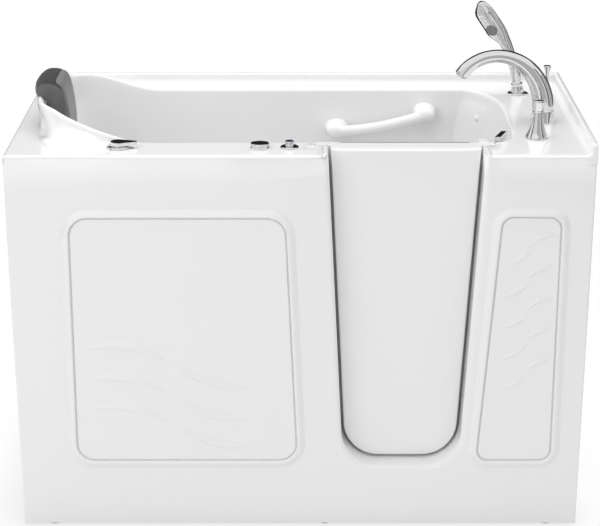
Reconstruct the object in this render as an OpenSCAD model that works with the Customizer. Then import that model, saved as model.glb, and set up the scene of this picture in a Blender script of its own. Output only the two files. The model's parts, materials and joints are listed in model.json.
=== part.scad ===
// Walk-in bath: a deep moulded tub with a seat, an inward-opening door, a padded
// headrest, deck-mounted taps and a water massage set, on a steel frame with levelling feet.
// Millimetres. The origin is the middle of the footprint on the floor:
// +X runs to the drain end, +Y to the wall behind, +Z up.

/* [Tub] */
// Overall length
tub_l = 1346; // [1330:2:1420]
// Overall depth from apron face to wall
tub_w = 660; // [650:2:720]
// Height of the deck above the floor
deck_z = 940; // [930:5:980]
// Thickness of the moulded shell
shell_t = 6; // [5:0.5:7]
// Height of the tiling lip above the deck
lip_h = 28; // [15:1:40]
// Thickness of the tiling lip
lip_t = 12; // [8:1:14]
// Radius along the outer edges of the deck
edge_r = 8; // [4:1:12]
// Gap between the apron and the floor
toe_gap = 4; // [3:1:10]

/* [Basin] */
// Width of the deck in front of the basin
front_deck = 115; // [112:1:124]
// Width of the deck behind the basin
back_deck = 62; // [60:1:70]
// Width of the deck at the drain end
right_deck = 169; // [160:1:180]
// Width of the deck behind the headrest
left_deck = 61; // [56:1:70]
// How far the drain end of the basin bows out
end_bow = 109; // [90:1:120]
// Height of the seat above the floor
seat_z = 430; // [400:5:460]
// Length of the foot well beyond the doorway's width
well_l = 131; // [125:1:145]
// Height of the foot well's floor
well_z = 110; // [108:1:114]
// How far the backrest leans over the seat
lean = 150; // [100:5:180]
// Radius of the fillets inside the basin
basin_r = 40; // [20:1:50]

/* [Headrest hood] */
// Height of the hood above the deck
hood_h = 92; // [60:1:110]
// Length of the raised hood
hood_l = 250; // [220:5:280]
// Width of the hood's flared foot in front
hood_flare = 70; // [40:1:80]

/* [Apron] */
// Height of the raised relief on the apron
relief = 3; // [2:0.5:4]
// Width of the raised bead round each panel
bead_w = 17; // [10:1:22]
// Corner radius of the panels
panel_r = 40; // [25:1:60]
// Height of the panels' lower edge
panel_z0 = 177; // [150:1:200]
// Height of the panels' upper edge
panel_z1 = 793; // [700:1:820]
// Width of a wave stroke
wave_w = 9; // [6:1:12]

/* [Door] */
// Door width at the deck
door_w = 345; // [335:1:350]
// Door width at the sill, before the corners are rounded
door_foot_w = 266; // [255:1:285]
// Height of the sill above the floor
sill_z = 164; // [162:1:168]
// Radius of the door's lower corners
door_r = 85; // [60:1:95]
// Distance of the door's drain-side edge from the tub's drain end
door_x = 257.5; // [254.5:0.5:262.5]
// Gap round the door
door_gap = 6.5; // [6:0.5:8]
// Depth of the door face behind the apron face
door_recess = 55; // [50:1:58]
// Overlap of the door's inner flange behind its frame
flange_w = 33; // [30:1:36]
// Thickness of the inner flange
flange_t = 26; // [22:1:28]
// Thickness of the door seal
seal_t = 3.7; // [3:0.1:4.5]
// Wall of the door's mouldings
door_wall = 5; // [3:0.5:8]

/* [Hinges and latch] */
// Radius of the hinge pin
hinge_pin_r = 3.5; // [3:0.1:4]
// Radius of a hinge knuckle
knuckle_r = 7; // [6:0.5:8]
// Height of one knuckle
knuckle_h = 30; // [24:1:36]
// Height of the upper hinge
hinge_top_z = 800; // [760:5:840]
// Height of the lower hinge
hinge_low_z = 300; // [260:5:340]
// Length of the latch lever
latch_l = 62; // [50:1:66]
// Height of the latch lever
latch_h = 17; // [12:1:20]
// Direction of the latch lever at rest, from +X
latch_a = 68; // [60:1:80]

/* [Taps] */
// Distance of the spout from the apron's face
spout_in = 290; // [270:5:310]
// Distance of the trumpet handle from the apron's face
valve_in = 152; // [130:2:170]
// Distance of the hand shower from the wall
shower_in = 109; // [95:1:125]
// Distance of the spout's foot from the drain-end wall
spout_end = 89; // [80:1:95]
// Reach of the spout
spout_reach = 198; // [170:2:210]
// Height of the spout above the deck
spout_h = 178; // [150:2:200]
// Width of the spout at its foot
spout_w = 52; // [44:1:54]
// Radius of the tap escutcheons
rose_r = 27; // [24:0.5:30]
// Height of the trumpet handle
trumpet_h = 58; // [45:1:65]
// Radius of the supply shanks under the deck
shank_r = 10.5; // [9:0.25:12]
// Length of the hand shower
shower_l = 205; // [180:5:215]
// Radius of the controls on the front deck
control_r = 21.5; // [18:0.5:25]
// Running clearance of stems and pins
run_gap = 0.08; // [0.04:0.01:0.1]

/* [Grab bar and pillow] */
// Distance between the grab bar's ends
grab_l = 228; // [200:2:260]
// How much higher the bar's right end sits
grab_rise = 42; // [20:2:70]
// Distance of the grab bar from the wall
grab_out = 44; // [38:1:46]
// Radius of the grab bar
grab_r = 14.5; // [11:0.5:16]
// Width of the pillow
pillow_w = 148; // [130:2:170]
// Thickness of the pillow
pillow_t = 62; // [60:1:84]
// Height of the pillow
pillow_h = 138; // [126:1:150]

/* [Frame and plumbing] */
// Side of the square frame tube
tube = 25; // [20:1:28]
// Wall of the frame tube
tube_wall = 2; // [1.5:0.5:3]
// Height of the frame's rails above the floor
rail_z = 34; // [30:1:40]
// Radius of a levelling foot's pad
pad_r = 22; // [16:1:23]
// Radius of a levelling stud
stud_r = 6; // [5:0.5:7]
// Outer radius of the waste pipe
waste_r = 19.05; // [16:0.05:20]
// Radius of a massage jet's face
jet_r = 26; // [20:1:30]
// Radius of the pump motor
motor_r = 75; // [60:1:78]

/* [Hidden] */
$fn = 64;
hull_fn = 32;
touch = 0.3;              // gap between parts that only rest near each other
x0 = -tub_l / 2;
x1 = tub_l / 2;
yf = -tub_w / 2;          // front of the relief
face_y = yf + relief;     // apron face
yb = tub_w / 2;
deck_low = deck_z - shell_t;
basin_yf = yf + front_deck;
basin_yb = yb - back_deck;
basin_cy = (basin_yf + basin_yb) / 2;
basin_hw = (basin_yb - basin_yf) / 2;
basin_x0 = x0 + left_deck;
basin_x1 = x1 - right_deck;
seat_back_x = basin_x0 + lean;      // foot of the backrest
end_yc = basin_cy + 40;             // widest point of the drain end
hood_x = basin_x0 + hood_l;         // where the hood begins
flange_gap = 3;           // between the inner flange and its pocket
pocket_out = flange_w + flange_gap + shell_t;
door_slope = (door_w - door_foot_w) / 2 / (deck_z - sill_z);
door_a = atan(door_slope);
seat_y = yf + door_recess + 30;     // back of the door frame's sealing face
flange_y0 = seat_y + touch + seal_t;
flange_y1 = flange_y0 + flange_t;
door_cx = x1 - door_x - door_w / 2;
latch_x = door_cx + door_w / 2 + flange_w + 10.6;   // the flange swings just past the latch
hinge_x = door_cx - door_w / 2 - flange_w + 8.4;
hinge_y = basin_yf + knuckle_r + 2;
seat_x = basin_x1 - door_w - well_l;    // front edge of the seat
latch_y = basin_yf + 22;
latch_z = deck_z - 9;               // underside of the lever
spout_x = x1 - spout_end;
spout_y = yf + spout_in;
valve_x = spout_x - 31;
valve_y = yf + valve_in;
shower_x = spout_x - 29;
shower_y = yb - shower_in;
rod_x = spout_x + 11;
rod_y = spout_y + spout_w / 2 + 12;
control_y = yf + 69;
diverter_x = hood_x - 55;
air_x = seat_x - 120;
button_x = seat_x - 52;
button_hole = 13.5;
lever_r = 25;                       // diverter escutcheon
rail_y = yb - tube / 2 - 20;        // centre line of the long rails
rail_x = x1 - tube / 2 - 18;
rail_h = 30;
drain_x = basin_x1 - 174;
mid_post_x = seat_x - 28;
door_post_x = basin_x1 + shell_t;
post_x = [-rail_x, mid_post_x, door_post_x, rail_x];
cross_x = [seat_x - 428, seat_x - 48, drain_x - 210, basin_x1 - 34];
feet_x = [x0 + 73, seat_x + 32, x1 - 73];
drain_y = basin_cy;
overflow_z = 740;
branch_r = 14;
branch_z = rail_z + rail_h + branch_r + 1;   // the overflow branch passes over the rail
overflow_r = 15;
overflow_y = yb - 34;
leg_y = 150;              // half the spacing of the seat legs
board_t = 12;
machine_z = rail_z + rail_h + board_t;
pump_x = seat_x - 288;
pump_y = -40;
pump_z = machine_z + motor_r + 8 + touch;
blower_r = 55;
blower_x = seat_x - 318;
blower_y = 104;
case_x = pump_x + 110;    // the pump's volute bolts on to the motor's end
case_w = 62;
outlet_h = motor_r + 60;
pipe_r = 14;
manifold_x = seat_x - shell_t - pipe_r - 1;
manifold_z = pump_z + outlet_h + 22;
grab_x = seat_x + 63.5;
grab_z = deck_z - 102;              // the bar keeps its place below the deck
riser_jet_y = [basin_cy - 90, basin_cy + 90];
riser_jet_z = 270;
riser_ports = [for (y = riser_jet_y) [y, riser_jet_z], [pump_y, pump_z]];
jet_bore = 0.38 * jet_r;
jet_deep = 42;

acrylic = [0.95, 0.95, 0.94];
chrome = [0.80, 0.81, 0.83];
steel = [0.62, 0.63, 0.65];
pvc = [0.86, 0.87, 0.86];
dark = [0.25, 0.25, 0.26];
seal_grey = [0.32, 0.32, 0.33];

// ---- shared geometry ----

function sgn_pow(v, p) = sign(v) * pow(abs(v), p);
function smooth(t) = let (c = max(0, min(1, t))) c * c * (3 - 2 * c);
function unit(v) = v / norm(v);

// a closed outline moved outwards by d, for points that run anticlockwise
function grow(p, d) = let (n = len(p)) [for (i = [0:n - 1])
  let (a = unit(p[i] - p[(i + n - 1) % n]), b = unit(p[(i + 1) % n] - p[i]),
       s = a + b, m = [s[1], -s[0]] / norm(s))
  p[i] + m * d / max(0.5, norm(s) / 2)];

// the drain end of the basin: a tight squared corner in front, from -90 to 0 degrees, and
// a long elliptical sweep to the back wall
end_x0 = basin_x1 - end_bow;
end_front = end_yc - basin_yf;
end_back = basin_yb + 4 - end_yc;
function end_pt(a) = a < 0
  ? [end_x0 + end_bow * pow(cos(a), 0.4), end_yc - end_front * pow(-sin(a), 0.4)]
  : [end_x0 + end_bow * cos(a), end_yc + end_back * sin(a)];
end_last = asin((basin_yb - end_yc) / end_back);    // where it meets the back wall

// the headrest end is half of a squared ellipse
head_n = 4;
function head_pt(a) = [hood_x + hood_l * sgn_pow(cos(a), 2 / head_n),
                       basin_cy + basin_hw * sgn_pow(sin(a), 2 / head_n)];

// angles along the head outline that step evenly where the squared ellipse is straight
function head_angle(t) = let (w = 1 - abs(2 * t - 1), f = w * w * (2 - w * w))
  t < 0.5 ? 90 + 90 * f : 270 - 90 * f;

corner_steps = 16;
sweep_steps = 16;
head_steps = 44;
basin_plan = concat(
  [for (i = [0:corner_steps]) let (w = 1 - i / corner_steps) end_pt(-90 * w * w * (2 - w))],
  [for (i = [1:sweep_steps]) end_pt(end_last * i / sweep_steps)],
  [for (i = [0:head_steps]) head_pt(head_angle(i / head_steps))]);

// the side view of the hollow, from the backrest down to the seat and the foot well
function arc(c, r, a0, a1, n = 6) =
  [for (i = [0:n]) c + r * [cos(a0 + (a1 - a0) * i / n), sin(a0 + (a1 - a0) * i / n)]];
back_a = atan(lean / (deck_z - seat_z));
over = 60;
sill_r = 10;              // front fillet of the foot well, under the sill
basin_side = concat(
  [[basin_x0 - over * tan(back_a), deck_z + over]],
  arc([seat_back_x + basin_r * (1 - sin(back_a)) / cos(back_a), seat_z + basin_r], basin_r,
      180 + back_a, 270),
  arc([seat_x - basin_r / 2, seat_z - basin_r / 2], basin_r / 2, 90, 0),
  arc([seat_x + basin_r / 2, well_z + basin_r / 2], basin_r / 2, 180, 270),
  [[basin_x1 + over, well_z], [basin_x1 + over, deck_z + over]]);

// half width of the door at height z
function door_half(z) = door_foot_w / 2 + (z - sill_z) * door_slope;

// the door's outline, in x and z, moved outwards by off and left open at the top
function door_line(off, top) = let (
    zc = sill_z + door_r, xc = door_half(zc) - door_r / cos(door_a), r = door_r + off,
    ht = door_half(top) + off / cos(door_a))
  concat([[door_cx - ht, top]], arc([door_cx - xc, zc], r, 180 + door_a, 270, 10),
         arc([door_cx + xc, zc], r, 270, 360 - door_a, 10), [[door_cx + ht, top]]);

// a plate in the x-z plane between two depths
module upright(ya, yb2) {
  translate([0, yb2, 0]) rotate([90, 0, 0]) linear_extrude(yb2 - ya) children();
}

module door_ring(outer, inner, top) {
  difference() {
    polygon(door_line(outer, top));
    polygon(door_line(inner, top + 1));
  }
}

// a solid skinned over a list of rings with the same number of points
module skin(rings) {
  n = len(rings[0]);
  m = len(rings);
  polyhedron(
    points = [for (r = rings) each r],
    faces = concat(
      [for (j = [0:m - 2], i = [0:n - 1]) let (a = j * n + i, b = j * n + (i + 1) % n)
        each [[a, b + n, b], [a, a + n, b + n]]],
      [for (i = [1:n - 2]) [0, i, i + 1]],
      [for (i = [1:n - 2]) let (k = (m - 1) * n) [k, k + i + 1, k + i]]));
}

// a ring of points round a path: centre c, sideways unit s, second unit u, half sizes a and b
function ring(c, s, u, a, b, n, power = 2) = [for (i = [0:n - 1]) let (t = 360 * i / n)
  c + s * a * sgn_pow(cos(t), 2 / power) + u * b * sgn_pow(sin(t), 2 / power)];

// ---- shell ----

module deck() {
  ledge = face_y;
  color(acrylic) difference() {
    union() {
      translate([x0, ledge, deck_low]) cube([tub_l, yb - ledge, shell_t]);
      translate([x0, yb - lip_t, deck_low]) cube([tub_l, lip_t, shell_t + lip_h]);
      translate([x1 - lip_t, ledge, deck_low]) cube([lip_t, yb - ledge, shell_t + lip_h]);
    }
    translate([0, 0, deck_low - 1]) linear_extrude(lip_h + shell_t + 2)
      polygon(grow(basin_plan, shell_t));
    upright(yf - 1, seat_y - shell_t) polygon(door_line(door_gap + shell_t, deck_z + 60));
    upright(seat_y - shell_t, basin_yf + 30)
      polygon(door_line(pocket_out, deck_z + 60));
    round_edge_x(ledge);
    round_edge_y();
    for (p = [[spout_x, spout_y], [valve_x, valve_y], [shower_x, shower_y]])
      translate([p[0], p[1], deck_low - 1]) cylinder(r = shank_r + 1, h = shell_t + 2);
    translate([rod_x, rod_y, deck_low - 1]) cylinder(r = 6, h = shell_t + 2);
    for (x = [diverter_x, air_x])
      translate([x, control_y, deck_low - 1]) cylinder(r = shank_r + 1, h = shell_t + 2);
    translate([button_x, control_y, deck_low - 1]) cylinder(r = button_hole, h = shell_t + 2);
  }
}

// takes the sharp corner off the deck's front edge
module round_edge_x(y) {
  difference() {
    translate([x0 - 1, y - 1, deck_z - min(edge_r, shell_t)])
      cube([tub_l + 2, min(edge_r, shell_t) + 1, edge_r + 1]);
    translate([x0 - 2, y + min(edge_r, shell_t), deck_z - min(edge_r, shell_t)])
      rotate([0, 90, 0]) cylinder(r = min(edge_r, shell_t), h = tub_l + 4);
    translate([x1 - lip_t - 0.01, y - 2, deck_z]) cube([lip_t + 2, edge_r + 4, lip_h + edge_r]);
  }
}

// takes the sharp corner off the deck's left edge
module round_edge_y() {
  r = min(edge_r, shell_t);
  difference() {
    translate([x0 - 1, yf - 1, deck_z - r]) cube([r + 1, tub_w - lip_t + 1, r + 1]);
    translate([x0 + r, yf - 2, deck_z - r]) rotate([-90, 0, 0])
      cylinder(r = r, h = tub_w + 4);
  }
}

// rise of the hood's crest above the deck: the front arm climbs to the full height, and
// the crest falls away past the pillow to a lower back arm
function crest(p) = let (s = max(0, min(1, (hood_x - p[0]) / hood_l)),
    back = smooth((p[1] - basin_cy - 125) / 90))
  hood_h * ((1 - back) * pow(s, 1.3) + back * 0.5 * smooth(1.25 * s));

// how far the hood's foot reaches outwards, along the head outline
function foot_out(x, ny) = 7 + (ny < 0 ? hood_flare : back_deck - lip_t - 22) *
  pow(abs(ny), 2.5) * smooth((hood_x - hood_l * 0.25 - x) / (hood_l * 0.42));

module headrest_hood() {
  rings = [for (i = [0:head_steps]) let (
      a = head_angle(i / head_steps), p = head_pt(a), q = (head_pt(a + 1) - head_pt(a - 1)),
      d = unit([q[1], -q[0]]), h = max(1, crest(p)),
      f = foot_out(p[0], d[1]), up = [0, 0, 1], base = [p[0], p[1], deck_z],
      o = [d[0], d[1], 0])
    [base + o * 0.5, base + o * 0.5 + up * h * 0.8, base + o * 2 + up * h * 0.96,
     base + o * 5 + up * h, base + o * 8 + up * h * 0.97, base + o * 10 + up * h * 0.85,
     base + o * (11 + f * 0.10) + up * h * 0.35, base + o * (11 + f * 0.30) + up * h * 0.17,
     base + o * (11 + f * 0.60) + up * h * 0.05, base + o * (11 + f) + up * 0.4,
     base + o * (11 + f)]];
  color(acrylic) skin(rings);
}

// the hollow of the basin, or the same shape moved outwards by off
module basin_form(off, top) {
  intersection() {
    translate([0, 0, well_z - 60]) linear_extrude(top - well_z + 60)
      polygon(grow(basin_plan, off));
    upright(basin_yf - 50, basin_yb + 50) polygon(grow(basin_side, off));
    union() {
      section(seat_z, basin_r, off, x0, seat_x + off);
      section(well_z, sill_r, off, seat_x - off, x1);
    }
  }
}

// the basin's cross-section above a floor, with rounded lower corners; rf is the front one
module section(z, rf, off, xa, xb) {
  r = basin_r + off;
  r1 = rf + off;
  ya = basin_yf - off;
  yc = basin_yb + off;
  translate([xa, 0, 0]) rotate([90, 0, 90]) linear_extrude(xb - xa)
    polygon(concat([[ya, deck_z + over]], arc([ya + r1, z - off + r1], r1, 180, 270),
                   arc([yc - r, z - off + r], r, 270, 360), [[yc, deck_z + over]]));
}

module basin() {
  color(acrylic) difference() {
    basin_form(shell_t, deck_z);
    basin_form(0, deck_z + 40);
    upright(basin_yf - 40, basin_yf + 30) polygon(door_line(pocket_out, deck_z + 30));
    for (p = riser_ports) translate([seat_x + 20, p[0], p[1]]) rotate([0, -90, 0])
      cylinder(r = jet_r - 6, h = 60);
    translate([drain_x, drain_y, well_z - 30]) cylinder(r = 26, h = 60);
    translate([drain_x, basin_yb - 20, overflow_z]) rotate([-90, 0, 0]) cylinder(r = 20, h = 60);
  }
}

// ---- apron ----

// a panel with slanting sides and round corners: lower left, lower right, upper right, upper left
left_panel = [[x0 + 138, panel_z0], [door_cx - door_foot_w / 2 - 115, panel_z0],
              [door_cx - door_w / 2 - 103.5, panel_z1], [x0 + 142, panel_z1]];
right_panel = [[door_cx + door_foot_w / 2 + 45, panel_z0], [x1 - 66, panel_z0],
               [x1 - 72, panel_z1 - 3], [door_cx + door_w / 2 + 43.5, panel_z1]];

function round_panel(c, r, off) = let (g = grow(c, off - r)) [for (i = [0:3])
  let (a = unit(g[i] - g[(i + 3) % 4]), b = unit(g[(i + 1) % 4] - g[i]),
       a0 = atan2(-a[0], a[1]), a1 = atan2(-b[0], b[1]))
  each arc(g[i], r, a0, a1 < a0 ? a1 + 360 : a1, 8)];

module bead(c) {
  upright(yf, face_y + 0.01) difference() {
    polygon(round_panel(c, panel_r + bead_w, bead_w));
    polygon(round_panel(c, panel_r, 0));
  }
}

// a stroke of the wave ornament: a bent band between two heights
module wave(xa, xb, za, zb, sag) {
  n = 12;
  p = [for (i = [0:n]) let (t = i / n) [xa + (xb - xa) * t,
       za + (zb - za) * smooth(t) + sag * sin(360 * t) * (1 - t)]];
  w = [for (i = [0:n]) wave_w / 2 * sqrt(max(0.02, sin(180 * i / n)))];
  upright(yf + relief / 2, face_y + 0.01) polygon(concat(
    [for (i = [0:n]) p[i] - [0, w[i]]], [for (i = [n:-1:0]) p[i] + [0, w[i]]]));
}

module front_apron() {
  color(acrylic) {
    difference() {
      translate([x0, face_y, toe_gap]) cube([tub_l, shell_t, deck_low - toe_gap]);
      upright(face_y - 1, face_y + shell_t + 1)
        polygon(door_line(door_gap + shell_t, deck_z + 1));
    }
    bead(left_panel);
    bead(right_panel);
    for (i = [0:2]) {
      wave(left_panel[0][0] + 44, left_panel[0][0] + 242, 458 - 78 * i, 434 - 76 * i, 12);
      wave(left_panel[0][0] + 264, left_panel[0][0] + 446, 412 - 80 * i, 366 - 75 * i, -16);
    }
    for (i = [0:4]) {
      wave(right_panel[0][0] + 62 - 8 * i, right_panel[0][0] + 112 - 8 * i,
           684 - 75 * i, 716 - 75 * i, -5);
      wave(right_panel[0][0] + 122 - 8 * i, right_panel[0][0] + 172 - 8 * i,
           728 - 75 * i, 752 - 75 * i, 5);
    }
  }
}

module left_end_panel() {
  color(acrylic) difference() {
    translate([x0, face_y + shell_t, toe_gap])
      cube([shell_t, tub_w - relief - shell_t - lip_t, deck_low - toe_gap]);
    for (p = panel_screws) translate([x0 - 1, p[0], p[1]]) rotate([0, 90, 0]) {
      cylinder(r = 2.6, h = shell_t + 2);
      cylinder(r = 5.3, h = 4);
    }
  }
}
panel_screws = [for (y = [-rail_y, rail_y], z = [120, deck_z / 2, deck_z - 90]) [y, z]];

module end_panel_screws() {
  color(chrome) for (p = panel_screws) translate([x0, p[0], p[1]]) rotate([0, 90, 0]) {
    cylinder(r = 5, h = 3);
    cylinder(r = 2.2, h = shell_t + 11);
  }
}

module door_jamb() {
  color(acrylic) difference() {
    union() {
      upright(face_y, seat_y) door_ring(door_gap + shell_t, door_gap, deck_z);
      upright(seat_y - shell_t, seat_y)
        door_ring(pocket_out, door_gap + shell_t / 2, deck_z);
      upright(seat_y - shell_t, basin_yf) door_ring(pocket_out, flange_w + flange_gap, deck_z);
    }
    translate([door_cx, face_y - 1, sill_z - door_gap]) rotate([-90, 0, 0])
      cylinder(r = 12, h = door_recess - 4);
  }
}

// ---- door ----

door_face_y = yf + door_recess;

module door_outer() {
  color(acrylic) difference() {
    upright(door_face_y, flange_y0) polygon(door_line(0, deck_z));
    upright(door_face_y + door_wall, flange_y0 + 1)
      polygon(door_line(-door_wall, deck_z - door_wall));
  }
}

module door_core() {
  color("wheat") upright(door_face_y + door_wall, flange_y1 - door_wall)
    polygon(door_line(-door_wall, deck_z - door_wall));
}

module door_inner() {
  color(acrylic) difference() {
    upright(flange_y0, flange_y1) polygon(door_line(flange_w, deck_z));
    upright(flange_y0 - 1, flange_y1 - door_wall)
      polygon(door_line(-door_wall, deck_z - door_wall));
  }
}

module door_seal() {
  color(seal_grey) upright(seat_y + touch, flange_y0) door_ring(flange_w - 7, 12, deck_z - 4);
}

hinge_zs = [hinge_low_z, hinge_top_z];
leaf_t = 3;

module knuckle(z, h, bore) {
  translate([hinge_x, hinge_y, z]) difference() {
    cylinder(r = knuckle_r, h = h);
    translate([0, 0, -1]) cylinder(r = bore, h = h + 2);
  }
}

module door_hinge_leaves() {
  // each leaf runs from its knuckles to a pad on the flange, clear of the basin wall
  color(steel) for (z = hinge_zs) {
    foot_x = door_cx - door_half(z - knuckle_h) - flange_w + 6;
    for (s = [-1, 1]) {
      za = z + (s > 0 ? knuckle_h / 2 + touch : -knuckle_h * 1.5 - touch);
      knuckle(za, knuckle_h, hinge_pin_r + run_gap);
      difference() {
        union() {
          translate([hinge_x, flange_y1 + 1.2, za])
            cube([foot_x - hinge_x + 50, leaf_t, knuckle_h]);
          translate([foot_x, flange_y1, za]) cube([50, 1.5, knuckle_h]);
        }
        translate([hinge_x, hinge_y, za - 1])
          cylinder(r = hinge_pin_r + run_gap, h = knuckle_h + 2);
        for (dx = [12, 36]) translate([foot_x + dx, flange_y1 - 1, za + knuckle_h / 2])
          rotate([-90, 0, 0]) cylinder(r = screw_hole_r, h = leaf_t + 4);
      }
    }
  }
}

screw_hole_r = 2.5;

// the upper hinge stands on the basin's front wall, the lower one on the seat riser
module frame_hinge_leaves() {
  bore = hinge_pin_r + 0.01;
  color(steel) {
    for (z = hinge_zs) knuckle(z - knuckle_h / 2, knuckle_h, bore);
    translate([hinge_x, hinge_y, hinge_top_z - knuckle_h / 2]) difference() {
      union() {
        translate([-52, basin_yf - hinge_y, 0]) cube([52 - knuckle_r + 3, leaf_t, knuckle_h]);
        translate([-knuckle_r - 1, basin_yf - hinge_y + 0.6, 0])
          cube([knuckle_r, hinge_y - basin_yf - 2, knuckle_h]);
      }
      translate([0, 0, -1]) cylinder(r = bore, h = knuckle_h + 2);
      for (dx = [-42, -20]) translate([dx, basin_yf - hinge_y - 1, knuckle_h / 2])
        rotate([-90, 0, 0]) cylinder(r = screw_hole_r, h = leaf_t + 4);
    }
    translate([seat_x, hinge_y, hinge_low_z - knuckle_h / 2]) difference() {
      union() {
        translate([0, -leaf_t / 2, 0]) cube([leaf_t, 44, knuckle_h]);
        translate([0, -leaf_t / 2, 0])
          cube([hinge_x - seat_x - hinge_pin_r - 1, leaf_t, knuckle_h]);
      }
      for (dy = [12, 32]) translate([-1, dy, knuckle_h / 2]) rotate([0, 90, 0])
        cylinder(r = screw_hole_r, h = leaf_t + 4);
    }
  }
}

module hinge_pins() {
  color(chrome) for (z = hinge_zs) {
    translate([hinge_x, hinge_y, z - knuckle_h * 1.5 - touch - 3])
      cylinder(r = hinge_pin_r, h = 3 * knuckle_h + 2 * touch + 6);
    translate([hinge_x, hinge_y, z + knuckle_h * 1.5 + 2 * touch])
      cylinder(r = knuckle_r - 1.5, h = 3);
  }
}

module latch_keeper() {
  // the closed lever lies just behind this block
  color(chrome) translate([latch_x - 44, flange_y1, latch_z - 26])
    cube([20, latch_y - 4.5 - 0.5 - flange_y1, 26 + latch_h - 5]);
}

module latch_base() {
  color(chrome) {
    intersection() {
      translate([latch_x - 7, basin_yf - 20, latch_z - 50]) cube([34, 42, 44]);
      translate([0, 0, deck_z - 200]) linear_extrude(300) polygon(basin_plan);
    }
    translate([latch_x, latch_y, latch_z - 50]) cylinder(r = 6.8, h = 50 - touch);
    translate([latch_x, latch_y, latch_z - touch]) cylinder(r = 3, h = latch_h - 3);
  }
}

module latch_lever() {
  color(chrome) translate([latch_x, latch_y, latch_z]) difference() {
    union() {
      cylinder(r = 6.8, h = latch_h);
      rotate([0, 0, latch_a]) {
        translate([0, -4.5, 0]) cube([latch_l - 4.5, 9, latch_h]);
        translate([latch_l - 4.5, 0, 0]) cylinder(r = 4.5, h = latch_h);
      }
    }
    translate([0, 0, -1]) cylinder(r = 3 + run_gap, h = latch_h - 1.5);
  }
}

// ---- grab bar and pillow ----

module grab_bar() {
  n = 16;
  mid = 14;
  span = grab_l;
  // bulged ends stand square on the wall and the bar sweeps between them
  end_a = [grab_x, grab_z];
  end_b = [grab_x + span, grab_z + grab_rise];
  color(acrylic) {
    for (e = [end_a, end_b]) translate([e[0], basin_yb, e[1]]) rotate([90, 0, 0])
      rotate_extrude() polygon([[0, 0], [23, 0], [24, 6], [22.5, 18], [20.5, grab_out - 8],
                                [17, grab_out + 2], [11, grab_out + 9], [0, grab_out + 12]]);
    skin([for (i = [0:mid]) let (
        t = i / mid, c = [grab_x + span * t, basin_yb - grab_out + 2 - 3 * sin(180 * t),
        grab_z + grab_rise * pow(t, 1.7)],
        up = unit([-grab_rise / span * 1.7 * pow(t, 0.7), 0, 1]), r = grab_r + 2 * pow(2 * t - 1, 4))
      ring(c, [0, 1, 0], up, r * 0.85, r, n)]);
  }
}

pillow_y = basin_cy - 54;
pillow_x1 = basin_x0 + 67;          // front of the pillow at its foot
pillow_z0 = deck_z - 12;

// one slice of the pillow across its width: a leaning arch that swells in its middle
function pillow_slice(v) = let (
    s = sin(v * 90), crown = pow(max(0.0, 1 - pow(abs(s), 3.2)), 0.42), n = 26,
    k = 0.25 + 0.75 * crown)
  [for (i = [0:n - 1]) let (
      t = 360 * i / n, cx = sgn_pow(cos(t), 0.72), cz = sgn_pow(sin(t), 0.78),
      z = pillow_h / 2 * (1 + cz * (0.45 + 0.55 * k)),
      waist = 1 - 0.10 * cz - 0.06 * sin(180 * z / pillow_h),
      x = -lean_at(z) + pillow_t / 2 * cx * k * waist)
    [pillow_x1 - pillow_t / 2 + x, pillow_y + pillow_w / 2 * s, pillow_z0 + z]];
function lean_at(z) = 4 + z * 0.1;

module pillow() {
  m = 36;
  color(dark) difference() {
    skin([for (j = [0:m]) pillow_slice(1 - 2 * j / m)]);
    // the foot of the pillow is notched over the hood's crest
    translate([x0 - 10, -tub_w / 2, deck_z - 50])
      cube([basin_x0 + 5.3 - x0 + 10, tub_w, 50 + hood_h + touch]);
  }
}

// ---- taps ----

spout_n = 24;
// the spout's centre line: a quarter ellipse up from the deck and a tighter one down to the tip
tip_drop = 46;
rise = spout_h - 17;
function spout_pt(t) = let (back = spout_reach * 0.57, fore = spout_reach * 0.43)
  t < 0.6 ? let (a = 90 * t / 0.6)
            [spout_x - back * (1 - cos(a)), spout_y, deck_z + 30 + (rise - 30) * sin(a)]
          : let (a = 62 * (t - 0.6) / 0.4)
            [spout_x - back - fore / sin(62) * sin(a), spout_y,
             deck_z + rise - tip_drop / (1 - cos(62)) * (1 - cos(a))];
function spout_half(t) = spout_w / 2 - (spout_w / 2 - 15.5) * smooth(t / 0.62) +
  1.2 * smooth((t - 0.8) / 0.2);

module spout_foot() {
  color(chrome) translate([spout_x, spout_y, deck_z]) difference() {
    union() {
      rotate_extrude() polygon([[0, 0], [spout_w / 2 + 1.5, 0], [spout_w / 2 + 1.5, 3],
                                [spout_w / 2, 5], [spout_w / 2, 30], [0, 30]]);
      translate([rod_x - spout_x, rod_y - spout_y, 0]) cylinder(r = 9, h = 8);
      translate([rod_x - spout_x - 6, spout_w / 2 - 4, 0]) cube([12, rod_y - spout_y - spout_w / 2 + 4, 6]);
    }
    translate([rod_x - spout_x, rod_y - spout_y, -1]) cylinder(r = 3 + run_gap, h = 12);
    translate([0, 0, -1]) cylinder(r = 8, h = 32);
  }
}

module spout() {
  steps = 30;
  color(chrome) skin([for (i = [0:steps]) let (
      t = i / steps, a = spout_pt(max(0, t - 0.01)), b = spout_pt(min(1, t + 0.01)),
      d = i == 0 ? [0, 0, 1] : unit(b - a), c = spout_pt(t), s = [0, 1, 0], u = cross(d, s),
      r = spout_half(t))
    ring(c, s, u, r, r, spout_n)]);
}

module aerator() {
  d = unit(spout_pt(1) - spout_pt(0.98));
  color(chrome) translate(spout_pt(1) + d * touch)
    rotate([0, atan2(d[0], d[2]), 0]) cylinder(r = 12.5, h = 4);
}

module lift_rod() {
  color(chrome) translate([rod_x, rod_y, deck_z]) rotate_extrude()
    polygon([[0, -30], [3, -30], [3, 96], [3.6, 104], [5, 116], [8, 124], [8.5, 127],
             [7.5, 128.5], [0, 128.5]]);
}

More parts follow.
